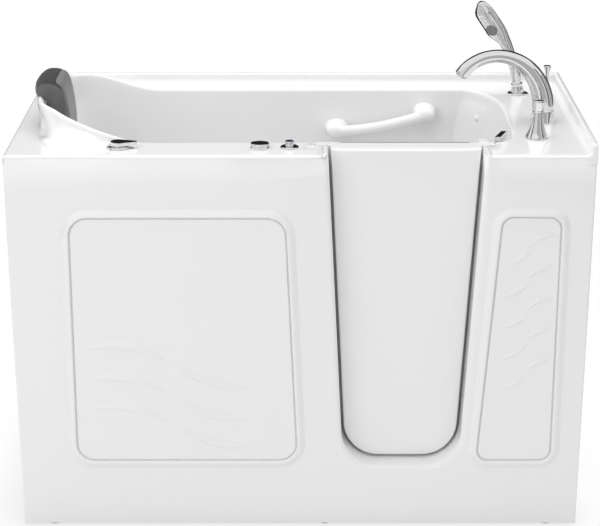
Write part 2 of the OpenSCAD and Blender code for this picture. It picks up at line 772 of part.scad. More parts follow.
module rose(r, h, bore) {
  rotate_extrude() polygon([[bore, 0], [r, 0], [r, h * 0.45], [r - 1.5, h * 0.8],
                            [r - 5, h], [bore, h]]);
}

rose_h = 5;

module valve_rose() {
  color(chrome) translate([valve_x, valve_y, deck_z]) rose(rose_r - 1, 3, 8);
}

module valve_handle() {
  h = trumpet_h;
  color(chrome) translate([valve_x, valve_y, deck_z + 3 + touch]) {
    rotate_extrude() polygon(concat(
      [[0, 0]],
      [for (i = [0:10]) let (t = i / 10)
        [12.2 + (rose_r - 13.2) * pow(1 - t, 1.7), h * t]],
      [[10.5, h + 2], [10.5, h + 22], [11.5, h + 24], [11.5, h + 27], [10.5, h + 29], [0, h + 29]]));
    translate([0, 0, -3]) cylinder(r = 8 - run_gap, h = 4);
  }
}

under = [[spout_x, spout_y], [valve_x, valve_y], [shower_x, shower_y]];

module valve_bodies() {
  color("goldenrod") {
    for (p = under) translate([p[0], p[1], deck_low - 16]) {
      difference() {
        cylinder(r = 20, h = 16, $fn = 6);
        translate([0, 0, -1]) cylinder(r = shank_r - 1, h = 18);
      }
    }
    for (p = under) translate([p[0], p[1], deck_low - 70]) cylinder(r = shank_r, h = 70 + shell_t);
    translate([valve_x, valve_y, deck_low - 110]) {
      cylinder(r = 22, h = 60);
      for (s = [-1, 1]) translate([s * 28, 0, -28]) cylinder(r = 10.48, h = 30);
      translate([-40, -14, 0]) cube([80, 28, 24]);
    }
  }
}

function shower_pt(t) = [shower_x - 4.5 - 20 * t - 82 * pow(t, 2.1), shower_y,
                         deck_z + 30 + shower_l * (t - 0.03 * sin(180 * t))];

module shower_holder() {
  color(chrome) translate([shower_x, shower_y, deck_z]) difference() {
    union() {
      rose(rose_r, rose_h, 0);
      rotate([0, -8, 0]) translate([0, 0, 2.6]) cylinder(r1 = 17, r2 = 15.5, h = 24);
    }
    rotate([0, -8, 0]) translate([0, 0, 6]) cylinder(r = 11.2, h = 40);
  }
}

spray_r = 20;

module hand_shower() {
  steps = 22;
  color(chrome) difference() {
    shower_body(steps);
    spray_place() cylinder(r = spray_r + 0.02, h = 20);
  }
}

module shower_body(steps) {
  union() {
    translate([shower_x, shower_y, deck_z]) rotate([0, -8, 0]) translate([0, 0, 6.5])
      cylinder(r = 10.8, h = 26);
    skin([for (i = [0:steps]) let (
        t = i / steps, b = shower_pt(min(1, t + 0.01)), a = shower_pt(max(0, t - 0.01)),
        d = unit(b - a), s = [0, 1, 0], u = cross(d, s),
        w = 12 + 3 * smooth(t / 0.3) + 17 * smooth((t - 0.45) / 0.25) -
            26 * pow(max(0, (t - 0.86) / 0.14), 3),
        k = 12.5 + 3 * smooth((t - 0.4) / 0.2) - 9 * pow(max(0, (t - 0.8) / 0.2), 2))
      ring(shower_pt(t), s, u, w, k, 20)]);
  }
}

// the seat of the spray disc in the shower head, with the z axis along the spray
module spray_place() {
  d = unit(shower_pt(0.84) - shower_pt(0.74));
  translate(shower_pt(0.79) + [-d[2], 0, d[0]] * 14) rotate([0, atan2(d[0], d[2]) - 90, 0])
    children();
}

module spray_face() {
  color(dark) spray_place() cylinder(r = spray_r, h = 3);
}

// ---- deck controls ----

module control(x) {
  translate([x, control_y, deck_z]) children();
}

module diverter_rose() {
  color(chrome) control(diverter_x) {
    rose(lever_r, 6, 5);
    translate([0, 0, -40]) difference() {
      cylinder(r = shank_r, h = 40);
      translate([0, 0, 20]) cylinder(r = 5, h = 30);
    }
  }
}

module diverter_lever() {
  color(chrome) control(diverter_x) translate([0, 0, 6 + touch]) {
    hull() {
      cylinder(r = 17, h = 9, $fn = hull_fn);
      translate([38, 0, 2]) cylinder(r = 6, h = 7, $fn = hull_fn);
    }
    translate([0, 0, -touch - 24]) cylinder(r = 5 - run_gap, h = 25);
    translate([36, -5, -5.5]) cube([7, 10, 9]);
  }
}

module air_rose() {
  color(chrome) control(air_x) {
    rose(control_r, 6, 5);
    translate([0, 0, -30]) difference() {
      cylinder(r = shank_r, h = 30);
      translate([0, 0, 8]) cylinder(r = 5, h = 30);
    }
  }
}

module air_knob() {
  color(chrome) control(air_x) translate([0, 0, 6 + touch]) {
    rotate_extrude() polygon(concat([[0, 0], [control_r - 4, 0]],
      [for (i = [0:6]) [(control_r - 3.5) * cos(15 * i), 2 + 6 * sin(15 * i)]]));
    translate([0, 0, -touch - 20]) cylinder(r = 5 - run_gap, h = 21);
  }
}

module button_bezel() {
  color(chrome) control(button_x) {
    difference() {
      union() {
        rose(control_r, 5, 10.8);
        translate([0, 0, -30]) cylinder(r = button_hole - 0.5, h = 30.01);
      }
      translate([0, 0, -24]) cylinder(r = 10.8, h = 60);
    }
  }
}

module button_cap() {
  color([0.30, 0.32, 0.42]) control(button_x) translate([0, 0, -16])
    rotate_extrude() polygon([[0, 0], [10.4, 0], [10.4, 27], [9.4, 28.4], [0, 28.4]]);
}

// ---- massage set, drain and plumbing ----

// puts a part on the seat riser, with its z axis pointing into the foot well
module riser(y, z) {
  translate([seat_x, y, z]) rotate([0, 90, 0]) children();
}

module jet_faces() {
  r = jet_r;
  color(acrylic) {
    for (y = riser_jet_y) riser(y, riser_jet_z) rotate_extrude()
      polygon([[jet_bore, 0], [r, 0], [r, 1.5], [r - 3, 4], [r * 0.55, 5], [jet_bore, 3]]);
    // the suction cover
    riser(pump_y, pump_z) difference() {
      cylinder(r = r, h = 4);
      for (i = [0:5]) rotate(60 * i) translate([r * 0.5, 0, -1]) cylinder(r = 4, h = 6);
    }
  }
}

module jet_bodies() {
  color(pvc) for (y = riser_jet_y) riser(y, riser_jet_z) translate([0, 0, -jet_deep])
    difference() {
      cylinder(r = jet_r - 7, h = jet_deep);
      translate([0, 0, 6]) cylinder(r = jet_bore, h = jet_deep);
    }
}

outlet_a = 54.5;          // place of the air outlet along the end wall's sweep
outlet_z = deck_z - 68;

module air_outlet() {
  // a round button on the curve between the drain end and the back wall
  p = end_pt(outlet_a);
  q = end_pt(outlet_a + 1) - end_pt(outlet_a - 1);
  color(acrylic) translate([p[0], p[1], outlet_z])
    rotate([0, 90, atan2(q[0], -q[1])]) translate([0, 0, 2 * touch])
      rotate_extrude() polygon([[0, 0], [8, 0], [8, 2], [6, 4.5], [0, 5.5]]);
}

module drain_flange() {
  color(chrome) translate([drain_x, drain_y, well_z]) difference() {
    union() {
      rotate_extrude() polygon([[0, 0], [36, 0], [35, 1.6], [29, 3], [0, 3]]);
      translate([0, 0, -24]) cylinder(r = 25, h = 25);
    }
    translate([0, 0, -10]) cylinder(r = 22, h = 20);
    translate([0, 0, -30]) cylinder(r = 5 + run_gap, h = 30);
    for (a = [0:60:300]) rotate([0, 0, a]) translate([14, 0, -30]) cylinder(r = 4, h = 30);
  }
}

module drain_stopper() {
  color(chrome) translate([drain_x, drain_y, well_z]) {
    rotate_extrude() polygon([[0, -3], [20, -3], [21, 1], [17, 5], [0, 6.5]]);
    translate([0, 0, -22]) cylinder(r = 5, h = 20);
  }
}

module waste_shoe() {
  r = waste_r;
  color(pvc) translate([drain_x, drain_y, 0]) difference() {
    union() {
      translate([0, 0, well_z - 56]) cylinder(r = 27, h = 32);
      translate([0, 0, 14]) cylinder(r = r, h = well_z - 60);
      translate([0, 25.5, branch_z]) rotate([-90, 0, 0])
        cylinder(r = branch_r, h = overflow_y - overflow_r - touch - drain_y - 25.5);
    }
    translate([0, 0, 13]) cylinder(r = r - 2.5, h = well_z - 24 - 13 - 12);
    translate([0, 0, well_z - 50]) cylinder(r = 20, h = 40);
  }
}

module overflow_plate() {
  color(chrome) translate([drain_x, basin_yb, overflow_z]) rotate([90, 0, 0]) {
    rotate_extrude() polygon([[0, 0], [34, 0], [34, 5], [31, 9], [0, 11]]);
  }
}

module overflow_pipe() {
  color(pvc) {
    translate([drain_x, overflow_y, rail_z + rail_h + 1])
      cylinder(r = overflow_r, h = overflow_z - rail_z - rail_h);
    translate([drain_x, basin_yb, overflow_z]) rotate([-90, 0, 0])
      cylinder(r = 19.5, h = overflow_y - basin_yb + 8);
  }
}

suction_l = seat_x - shell_t - touch - case_x;

module pump_case() {
  // the volute takes the suction on its axis, from the riser, and delivers upwards
  color("dimgray") translate([case_x, pump_y, pump_z]) rotate([0, 90, 0]) difference() {
    union() {
      cylinder(r = motor_r + 8, h = case_w);
      cylinder(r = 26, h = suction_l);
      translate([-outlet_h, -22, 9]) cube([outlet_h - motor_r + 10, 44, 44]);
    }
    translate([0, 0, 6]) cylinder(r = motor_r, h = case_w - 12);
    translate([0, 0, case_w - 12]) cylinder(r = 20, h = suction_l);
    translate([0, 0, -1]) cylinder(r = 8 + run_gap, h = 10);
    translate([-outlet_h - 1, 0, case_w / 2]) rotate([0, 90, 0])
      cylinder(r = pipe_r - 3, h = outlet_h - motor_r + 10);
  }
}

module pump_motor() {
  color("dimgray") difference() {
    union() {
      translate([pump_x - 110, pump_y, pump_z]) rotate([0, 90, 0]) cylinder(r = motor_r, h = 220);
      for (x = [pump_x - 80, pump_x + 60])
        translate([x, pump_y - 60, machine_z]) cube([30, 120, motor_r * 0.55]);
    }
    translate([pump_x - 60, pump_y, pump_z]) rotate([0, 90, 0])
      cylinder(r = 8 + run_gap, h = 180);
  }
}

module pump_rotor() {
  vane_l = case_w - 28;
  color("black") translate([case_x, pump_y, pump_z]) rotate([0, 90, 0]) {
    translate([0, 0, -166]) cylinder(r = 8, h = 180);
    translate([0, 0, 12]) cylinder(r = motor_r - 9, h = 5);
    for (a = [0:60:300]) rotate([0, 0, a]) translate([10, -2, 16])
      cube([motor_r - 22, 4, vane_l]);
    translate([0, 0, 10]) cylinder(r = 14, h = 10 + vane_l);
  }
}

module machine_board() {
  color("burlywood") translate([cross_x[0], basin_cy - leg_y + tube / 2 + 4, rail_z + rail_h])
    cube([cross_x[1] - cross_x[0], 2 * leg_y - tube - 8, board_t]);
}

air_y = blower_y - 24;              // the blower's outlet
air_z = machine_z + 56;

module blower_case() {
  h = 96;
  color("dimgray") difference() {
    union() {
      translate([blower_x, blower_y, machine_z]) cylinder(r = blower_r, h = h);
      translate([blower_x, air_y, air_z]) rotate([0, 90, 0]) cylinder(r = pipe_r, h = blower_r + 30);
    }
    translate([blower_x, blower_y, machine_z]) {
      translate([0, 0, 30]) cylinder(r = blower_r - 6, h = h - 36);
      translate([0, 0, h - 16]) cylinder(r = 25, h = 30);
      translate([0, 0, 10]) cylinder(r = 5 + run_gap, h = 30);
    }
    translate([blower_x + 30, air_y, air_z]) rotate([0, 90, 0])
      cylinder(r = pipe_r - 3, h = blower_r + 30);
  }
}

module blower_fan() {
  color("black") translate([blower_x, blower_y, machine_z]) {
    translate([0, 0, 12]) cylinder(r = 5, h = 24);
    translate([0, 0, 34]) cylinder(r = blower_r - 12, h = 3);
    for (a = [0:30:330]) rotate([0, 0, a]) translate([blower_r - 32, -1.5, 36])
      cube([20, 3, 30]);
  }
}

// the pipes, of radius r: pump to manifold, down to each jet, and in from the blower;
// the open ends are longer by cut
module pipe_run(r, cut) {
  up = pump_z + outlet_h + touch;
  translate([case_x + case_w / 2, pump_y, up - cut]) cylinder(r = r, h = manifold_z - up + cut);
  translate([case_x + case_w / 2 - r, pump_y, manifold_z]) rotate([0, 90, 0])
    cylinder(r = r, h = manifold_x - case_x - case_w / 2 + r);
  translate([manifold_x, riser_jet_y[0] - r, manifold_z]) rotate([-90, 0, 0])
    cylinder(r = r, h = riser_jet_y[1] - riser_jet_y[0] + 2 * r);
  low = riser_jet_z + jet_r - 7 + touch;
  for (y = riser_jet_y) translate([manifold_x, y, low - cut])
    cylinder(r = r * 0.7, h = manifold_z - low + cut);
  translate([blower_x + blower_r + 30 - cut, air_y, air_z]) rotate([0, 90, 0])
    cylinder(r = r, h = manifold_x - blower_x - blower_r - 30 + r + cut);
  translate([manifold_x, air_y, air_z]) cylinder(r = r, h = manifold_z - air_z);
}

module jet_pipes() {
  color(pvc) difference() {
    pipe_run(pipe_r, 0);
    pipe_run(pipe_r - 3, 1);
  }
}

// ---- frame ----

module tube_x(x, y, z, l, h) {
  translate([x, y - tube / 2, z]) difference() {
    cube([l, tube, h]);
    translate([-1, tube_wall, tube_wall]) cube([l + 2, tube - 2 * tube_wall, h - 2 * tube_wall]);
  }
}

module long_rails() {
  color(steel) for (s = [-1, 1]) difference() {
    tube_x(-rail_x + tube / 2, s * rail_y, rail_z, 2 * rail_x - tube, rail_h);
    for (x = feet_x) translate([x, s * rail_y, rail_z - 1]) cylinder(r = stud_r + 0.5, h = rail_h + 2);
  }
}

module tube_y(x, y, z, l, h) {
  translate([x - tube / 2, y, z]) difference() {
    cube([tube, l, h]);
    translate([tube_wall, -1, tube_wall]) cube([tube - 2 * tube_wall, l + 2, h - 2 * tube_wall]);
  }
}

module cross_rails() {
  l = 2 * rail_y - tube;
  color(steel) {
    for (x = cross_x) tube_y(x, -l / 2, rail_z, l, rail_h);
    for (s = [-1, 1]) tube_y(s * rail_x, -l / 2, rail_z, l, rail_h);
  }
}

module corner_posts() {
  color(steel) for (x = post_x, s = [-1, 1]) if (x != door_post_x || s < 0)
    translate([x - tube / 2, s * rail_y - tube / 2, abs(x) == rail_x ? rail_z : rail_z + rail_h])
      difference() {
        cube([tube, tube, deck_low - (abs(x) == rail_x ? rail_z : rail_z + rail_h)]);
        translate([tube_wall, tube_wall, -1])
          cube([tube - 2 * tube_wall, tube - 2 * tube_wall, deck_z]);
      }
}

module top_rails() {
  l = 2 * rail_y - tube;
  color(steel) {
    for (s = [-1, 1]) tube_y(s * rail_x, -l / 2, deck_low - tube, l, tube);
    for (r = [[-rail_x, mid_post_x], [mid_post_x, rail_x]])
      tube_x(r[0] + tube / 2, rail_y, deck_low - tube, r[1] - r[0] - tube, tube);
  }
}

board_x0 = seat_back_x + 12;
module seat_board() {
  color("burlywood") translate([board_x0, basin_cy - basin_hw + 45, seat_z - shell_t - board_t])
    cube([seat_x - shell_t - board_x0 - 16, 2 * basin_hw - 90, board_t]);
}

module seat_legs() {
  z0 = rail_z + rail_h;
  color(steel) for (x = [cross_x[0], cross_x[1]], s = [-1, 1])
    translate([x - tube / 2, basin_cy + s * leg_y - tube / 2, z0]) difference() {
      cube([tube, tube, seat_z - shell_t - board_t - z0]);
      translate([tube_wall, tube_wall, -1])
        cube([tube - 2 * tube_wall, tube - 2 * tube_wall, seat_z]);
    }
}

module floor_blocks() {
  z0 = rail_z + rail_h;
  color("dimgray") for (x = [cross_x[2], cross_x[3]], s = [-1, 1])
    translate([x - tube / 2, basin_cy + s * 110 - 40, z0])
      cube([tube, 80, well_z - shell_t - z0]);
}

module feet() {
  for (x = feet_x, s = [-1, 1]) translate([x, s * rail_y, 0]) children();
}

module foot_pads() {
  color(dark) feet() difference() {
    rotate_extrude() polygon([[0, 0], [pad_r, 0], [pad_r, 4], [pad_r * 0.5, 10], [0, 10]]);
    translate([0, 0, 5]) cylinder(r = stud_r + 0.02, h = 10);
  }
}

module foot_studs() {
  color(steel) feet() translate([0, 0, 5]) cylinder(r = stud_r, h = rail_z + rail_h + 15);
}

module foot_nuts() {
  color(steel) feet() translate([0, 0, rail_z - 10]) difference() {
    cylinder(r = 11, h = 10, $fn = 6);
    translate([0, 0, -1]) cylinder(r = stud_r + 0.02, h = 12);
  }
}

deck();
headrest_hood();
basin();
front_apron();
door_jamb();
left_end_panel();
end_panel_screws();
long_rails();
cross_rails();
corner_posts();
top_rails();
seat_board();
seat_legs();
machine_board();
floor_blocks();
foot_pads();
foot_studs();
foot_nuts();
door_outer();
door_core();
door_inner();
door_seal();
door_hinge_leaves();
frame_hinge_leaves();
hinge_pins();
latch_keeper();
latch_base();
latch_lever();
grab_bar();
pillow();
spout_foot();
spout();
aerator();
lift_rod();
valve_rose();
valve_handle();
valve_bodies();
shower_holder();
hand_shower();
spray_face();
diverter_rose();
diverter_lever();
air_rose();
air_knob();
button_bezel();
button_cap();
jet_faces();
jet_bodies();
air_outlet();
drain_flange();
drain_stopper();
waste_shoe();
overflow_plate();
overflow_pipe();
pump_case();
pump_motor();
pump_rotor();
blower_case();
blower_fan();
jet_pipes();
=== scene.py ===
import json
import math
import bpy
import bmesh
import numpy as np
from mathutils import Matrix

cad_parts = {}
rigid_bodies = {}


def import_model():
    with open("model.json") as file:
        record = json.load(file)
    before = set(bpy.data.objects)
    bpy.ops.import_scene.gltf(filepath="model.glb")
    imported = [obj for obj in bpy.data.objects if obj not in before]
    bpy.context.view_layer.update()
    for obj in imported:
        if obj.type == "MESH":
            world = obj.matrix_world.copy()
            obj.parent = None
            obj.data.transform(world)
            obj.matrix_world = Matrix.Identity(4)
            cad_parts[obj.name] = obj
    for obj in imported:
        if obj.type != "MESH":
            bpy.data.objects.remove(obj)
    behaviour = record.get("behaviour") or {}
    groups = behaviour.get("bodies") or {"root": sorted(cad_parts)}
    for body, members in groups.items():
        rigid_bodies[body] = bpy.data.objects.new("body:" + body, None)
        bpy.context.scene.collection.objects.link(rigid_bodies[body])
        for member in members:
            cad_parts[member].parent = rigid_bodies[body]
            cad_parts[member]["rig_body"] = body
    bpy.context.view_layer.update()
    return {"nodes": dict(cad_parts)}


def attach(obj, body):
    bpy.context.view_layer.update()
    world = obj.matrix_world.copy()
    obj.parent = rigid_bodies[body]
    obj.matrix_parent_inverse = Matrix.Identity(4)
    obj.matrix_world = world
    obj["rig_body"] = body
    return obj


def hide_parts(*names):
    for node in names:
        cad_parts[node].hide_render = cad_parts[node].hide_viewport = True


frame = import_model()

# ---- Camera, floor and light ----
# A long lens stands in front and a little above, on the middle of the tub. The floor is
# pale, and white to the lens, with soft shade where the apron meets it.


def add(name, data):
    """Links a new object that holds data into the scene."""
    o = bpy.data.objects.new(name, data)
    bpy.context.scene.collection.objects.link(o)
    return o


def node(tree, kind, **inputs):
    """A new shader node with numbers set on its inputs, whose names take _ for a space."""
    n = tree.nodes.new("ShaderNode" + kind)
    for name, value in inputs.items():
        n.inputs[name.replace("_", " ")].default_value = value
    return n


camera = add("camera", bpy.data.cameras.new("camera"))
camera.location = (0.0, -4.116, 2.091)
camera.rotation_euler = (math.radians(69.61), 0.0, 0.0)
camera.data.lens = 105.08
camera.data.sensor_width = 36.0
bpy.context.scene.camera = camera
bpy.context.scene.view_settings.view_transform = "Standard"


def wire(tree, *ends):
    """Links node outputs to inputs, given in pairs."""
    for a, b in zip(ends[::2], ends[1::2]):
        tree.links.new(a, b)


def seen_rays(tree):
    """One where a camera, glossy or transmission ray arrives, else nought: the three's largest."""
    path, first, both = node(tree, "LightPath"), node(tree, "Math"), node(tree, "Math")
    first.operation = both.operation = "MAXIMUM"
    wire(tree, path.outputs["Is Camera Ray"], first.inputs[0],
         path.outputs["Is Glossy Ray"], first.inputs[1],
         first.outputs[0], both.inputs[0],
         path.outputs["Is Transmission Ray"], both.inputs[1])
    return both.outputs[0]


def sheet(name, corners):
    """A flat sheet with four corners in metres, and the empty node tree of its material."""
    mesh = bpy.data.meshes.new(name)
    mesh.from_pydata(corners, [], [(0, 1, 2, 3)])
    paint = bpy.data.materials.new(name)
    paint.use_nodes = True
    paint.node_tree.nodes.clear()
    mesh.materials.append(paint)
    return add(name, mesh), paint.node_tree


floor, tree = sheet("floor", [(-9, -9, 0), (9, -9, 0), (9, 9, 0), (-9, 9, 0)])
matt = node(tree, "BsdfDiffuse", Color=(0.86, 0.86, 0.86, 1))
white = node(tree, "Emission")
shade = node(tree, "AmbientOcclusion", Distance=0.16)
tone = node(tree, "MapRange", From_Min=0.35, From_Max=0.98, To_Min=0.80, To_Max=1.0)
mix = node(tree, "MixShader")
out = node(tree, "OutputMaterial")
wire(tree, shade.outputs["AO"], tone.inputs["Value"], tone.outputs["Result"], white.inputs["Color"],
     seen_rays(tree), mix.inputs["Fac"], matt.outputs[0], mix.inputs[1],
     white.outputs[0], mix.inputs[2], mix.outputs[0], out.inputs["Surface"])

world = bpy.data.worlds.new("studio")
bpy.context.scene.world = world
world.use_nodes = True
tree = world.node_tree
tree.nodes.clear()
sky = node(tree, "Background", Color=(1, 1, 1, 1), Strength=0.70)
plain = node(tree, "Background", Color=(1, 1, 1, 1), Strength=1.0)
mix = node(tree, "MixShader")
out = node(tree, "OutputWorld")
wire(tree, seen_rays(tree), mix.inputs["Fac"], sky.outputs[0], mix.inputs[1],
     plain.outputs[0], mix.inputs[2], mix.outputs[0], out.inputs["Surface"])


def softbox(name, place, aim, width, height, watts):
    """A rectangular lamp at place, turned to face aim."""
    lamp = bpy.data.lights.new(name, "AREA")
    lamp.shape = "RECTANGLE"
    lamp.size, lamp.size_y, lamp.energy = width, height, watts
    o = add(name, lamp)
    o.visible_glossy = False
    way = np.subtract(aim, place)
    o.location = place
    o.rotation_euler = (math.atan2(math.hypot(way[0], way[1]), -way[2]), 0,
                        math.atan2(way[1], way[0]) - math.pi / 2)


softbox("front_lamp", (-2.6, -3.0, 3.0), (0.1, 0, 0.6), 2.4, 2.0, 31)
softbox("top_lamp", (-0.1, 0.15, 3.6), (0, 0, 0.9), 2.4, 2.0, 44)


def card(name, tone, corners):
    """A matt card that only bright surfaces reflect: its grey tone and four corners in metres."""
    o, tree = sheet(name, corners)
    o.visible_camera = o.visible_diffuse = o.visible_shadow = o.visible_transmission = False
    glow = node(tree, "Emission", Color=(tone, tone, tone * 1.02, 1))
    wire(tree, glow.outputs[0], node(tree, "OutputMaterial").inputs["Surface"])


# upright cards in a ring 3.4 m out: each one's two angles, tone, and lower and upper edge
RING = 3.4
for i, (start, end, tone, low, high) in enumerate([
        (34, 130, 0.02, 0.0, 5.2), (130, 160, 0.30, 0.0, 3.0), (160, 196, 0.95, 0.0, 2.6),
        (196, 214, 0.12, 0.0, 2.8), (218, 262, 0.82, 0.0, 2.6), (268, 320, 0.52, 0.0, 2.6),
        (14, 34, 0.22, 0.0, 3.0), (-16, 14, 0.55, 0.0, 2.2), (-32, -16, 0.2, 0.0, 2.8)]):
    a, b = ((RING * math.cos(t), RING * math.sin(t)) for t in np.radians([start, end]))
    card(f"card_{i}", tone, [(*a, low), (*b, low), (*b, high), (*a, high)])

card("card_low", 0.03, [(-RING, 0.36, 0.004), (RING, 0.36, 0.004), (RING, RING, 0.004),
                        (-RING, RING, 0.004)])

# ---- Tub shell: deck, headrest hood and basin ----
# One sheet of white acrylic, vacuum formed over a mould: the flat deck, the rim that rises
# into the hood round the head end, and the hollow with its backrest, seat and foot well.


def put(name, parts, finish, body, part=None, stands_for=(), up=None, merge=1e-5):
    """Makes a piece from (points, faces) parts in millimetres: the parts are joined, points that
    meet are merged, and faces look outwards, or on an open sheet towards the direction up."""
    points = np.concatenate([p.reshape(-1, 3) for p, f in parts]) / 1000
    start = np.cumsum([0] + [p.reshape(-1, 3).shape[0] for p, f in parts])
    faces = [tuple(q) for (p, f), s in zip(parts, start) for q in (f + s).tolist()]
    mesh = bpy.data.meshes.new(name)
    mesh.from_pydata(points.tolist(), [], faces)
    bm = bmesh.new()
    bm.from_mesh(mesh)
    bmesh.ops.remove_doubles(bm, verts=bm.verts, dist=merge)
    bmesh.ops.dissolve_degenerate(bm, dist=merge / 10, edges=bm.edges)
    if up is None:
        bmesh.ops.recalc_face_normals(bm, faces=bm.faces)
    else:
        lean = sum(f.normal.dot(up) * f.calc_area() for f in bm.faces)
        if lean < 0:
            bmesh.ops.reverse_faces(bm, faces=bm.faces)
    bm.to_mesh(mesh)
    bm.free()
    mesh.shade_smooth()
    o = add(name, mesh)
    mesh.materials.append(finish)
    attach(o, body)
    if stands_for:
        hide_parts(*stands_for)
    return o


def net(points, round_cols=False, keep=None):
    """Quads between neighbours of a grid of points, rows by columns, wrapped round if asked."""
    rows, cols = points.shape[:2]
    r = np.arange(rows - 1)[:, None]
    c = np.arange(cols if round_cols else cols - 1)[None, :]
    c2 = (c + 1) % cols
    quads = np.stack([r * cols + c, r * cols + c2, (r + 1) * cols + c2, (r + 1) * cols + c], -1)
    if keep is not None:
        quads = quads[keep[:quads.shape[0], :quads.shape[1]]]
    return points, quads.reshape(-1, 4)


def pole(ring):
    """A ring's points all drawn together at its middle, to close a surface."""
    return ring * 0 + ring.mean(0)


def wall(o, thick, crisp=None):
    """Gives a sheet its thickness, on the side away from its normals."""
    m = o.modifiers.new("wall", "SOLIDIFY")
    m.thickness, m.offset = thick, -1
    if crisp:
        o.data.set_sharp_from_angle(angle=math.radians(crisp))


def varied(tree, colour, spread):
    """A mix of two tones of a colour: darker and lighter than it by the part spread."""
    mix = node(tree, "Mix")
    mix.data_type = "RGBA"
    mix.inputs[6].default_value = (*[c * (1 - spread) for c in colour], 1)
    mix.inputs[7].default_value = (*[min(1, c * (1 + spread)) for c in colour], 1)
    return mix


def moulded(name, colour, rough, mottle=0.02, wave=0.0, scale=3.0, coat=0.0, sheen=0.0,
            grain=0.0, grain_scale=900.0):
    """A moulded plastic, rubber or paint: the colour varies a little over broad patches, the
    gloss over finer ones, and a bump of low waves and fine grain breaks up the highlights."""
    m = bpy.data.materials.new(name)
    m.use_nodes = True
    t = m.node_tree
    skin = t.nodes["Principled BSDF"]
    place = node(t, "TexCoord").outputs["Object"]
    patch = node(t, "TexNoise", Scale=scale, Detail=3)
    ramp = varied(t, colour, mottle)
    fine = node(t, "TexNoise", Scale=60, Detail=4)
    gloss = node(t, "MapRange", To_Min=rough * 0.8, To_Max=rough * 1.2)
    wire(t, place, patch.inputs["Vector"], patch.outputs["Fac"], ramp.inputs[0],
         ramp.outputs[2], skin.inputs["Base Color"], place, fine.inputs["Vector"],
         fine.outputs["Fac"], gloss.inputs["Value"], gloss.outputs["Result"],
         skin.inputs["Roughness"])
    normal = None
    for height, size, depth in ((wave, 7.0, 0.010), (grain, grain_scale, 0.0004)):
        if height:
            lumps = node(t, "TexNoise", Scale=size)
            bump = node(t, "Bump", Strength=height, Distance=depth)
            wire(t, place, lumps.inputs["Vector"], lumps.outputs["Fac"], bump.inputs["Height"])
            if normal:
                wire(t, normal, bump.inputs["Normal"])
            normal = bump.outputs["Normal"]
    if normal:
        wire(t, normal, skin.inputs["Normal"])
    skin.inputs["Coat Weight"].default_value = coat
    skin.inputs["Sheen Weight"].default_value = sheen
    return m


acrylic = moulded("white_acrylic", (0.92, 0.92, 0.92), 0.14, mottle=0.006, wave=0.02, scale=2.0,
                  coat=0.3)


def formed(name, parts, *nodes, **how):
    """An acrylic piece of the tub, which stands for the nodes."""
    return put(name, parts, acrylic, "tub", "acrylic", nodes, **how)


# the deck's edges and height; the head end's half oval and the drain end's; the long walls'
# inner faces; the skirt, the rim and its round; the seat with its front edge, its nose and the
# fillets, and the foot well's floor
FACE, BACK, LEFT, RIGHT, DECK = -327.0, 329.0, -673.0, 672.0, 940.0
HOOD_X, HEAD_LONG, HALF, MID = -362.0, 250.0, 241.5, 26.5
END_X, END_LONG, END_Y, END_LEAN = 395.0, 109.0, 66.5, 0.16
FRONT_Y, BACK_Y = -215.0, 268.0
EDGE, SKIRT, RIM_LOW, RIM = 7.0, 925.0, 905.0, 8.0
SEAT, SEAT_X, NOSE, ROUND, WELL = 430.0, 28.0, 20.0, 40.0, 110.0
# the door's middle, the slope of its sides, its sill, corners and half its foot; how far the
# frame's mouth and the pocket lie outside it, and the depth of the sealing face
DOOR_X, SLOPE, SILL, DOOR_R, FOOT_HALF = 243.0, 0.050902, 164.0, 85.0, 133.0
MOUTH, POCKET, SEAL_Y = 18.5, 37.0, -245.0
LEAN = math.cos(math.atan(SLOPE))


def door_half(z):
    """Half the door's width at height z: it widens evenly from the sill to the deck."""
    return FOOT_HALF + (z - SILL) * SLOPE


def power(v, p):
    """v to the power p, keeping its sign."""
    return np.sign(v) * np.abs(v) ** p


def drain_end(a):
    """The drain end's outline: a squared quarter oval in front, below angle 0, and a long
    quarter ellipse from there to the back wall."""
    c, s = np.abs(np.cos(a)), np.sin(a)
    return (END_X + END_LONG * np.where(a < 0, c ** 0.4, c),
            END_Y + np.where(a < 0, (FRONT_Y - END_Y) * np.abs(s) ** 0.4, 205.5 * s))


def head_end(a):
    """The head end's outline: half of a squared ellipse of power 4."""
    return HOOD_X + HEAD_LONG * power(np.cos(a), 0.5), MID + HALF * power(np.sin(a), 0.5)


def angle_at(x):
    """The angle at which the drain end's front quarter passes x."""
    return -np.arccos(((x - END_X) / END_LONG) ** 2.5)


# the row of columns round the basin, anticlockwise from the door's side of the front wall
cut_l = DOOR_X - door_half(DECK) - MOUTH / LEAN         # edges of the doorway at the deck
cut_r = 2 * DOOR_X - cut_l
pocket_l = DOOR_X - door_half(DECK) - POCKET / LEAN     # edges of the pocket behind it
pocket_r = 2 * DOOR_X - pocket_l
turn = np.concatenate([[angle_at(cut_r)], np.radians([-84, -80]), [angle_at(pocket_r)],
                       np.radians(np.concatenate([np.linspace(-72, -24, 17), [-16, -8]]))])
sweep = np.radians(78.69) * np.linspace(0, 1, 25)
u = np.linspace(0, 1, 149)
w = 1 - np.abs(2 * u - 1)
w = w * w * (2 - w * w)
head = np.radians(np.where(u < 0.5, 90 + 90 * w, 270 - 90 * w))
run_x = np.concatenate([np.linspace(HOOD_X, pocket_l, 14)[1:], [cut_l],
                        np.linspace(cut_l, END_X, 14)[1:]])
tx, ty = drain_end(turn)
sx, sy = drain_end(sweep)
bx = np.linspace(sx[-1], HOOD_X, 22)[1:-1]
hx, hy = head_end(head)
px = np.concatenate([tx, sx, bx, hx, run_x])
py = np.concatenate([ty, sy, bx * 0 + BACK_Y, hy, run_x * 0 + FRONT_Y])
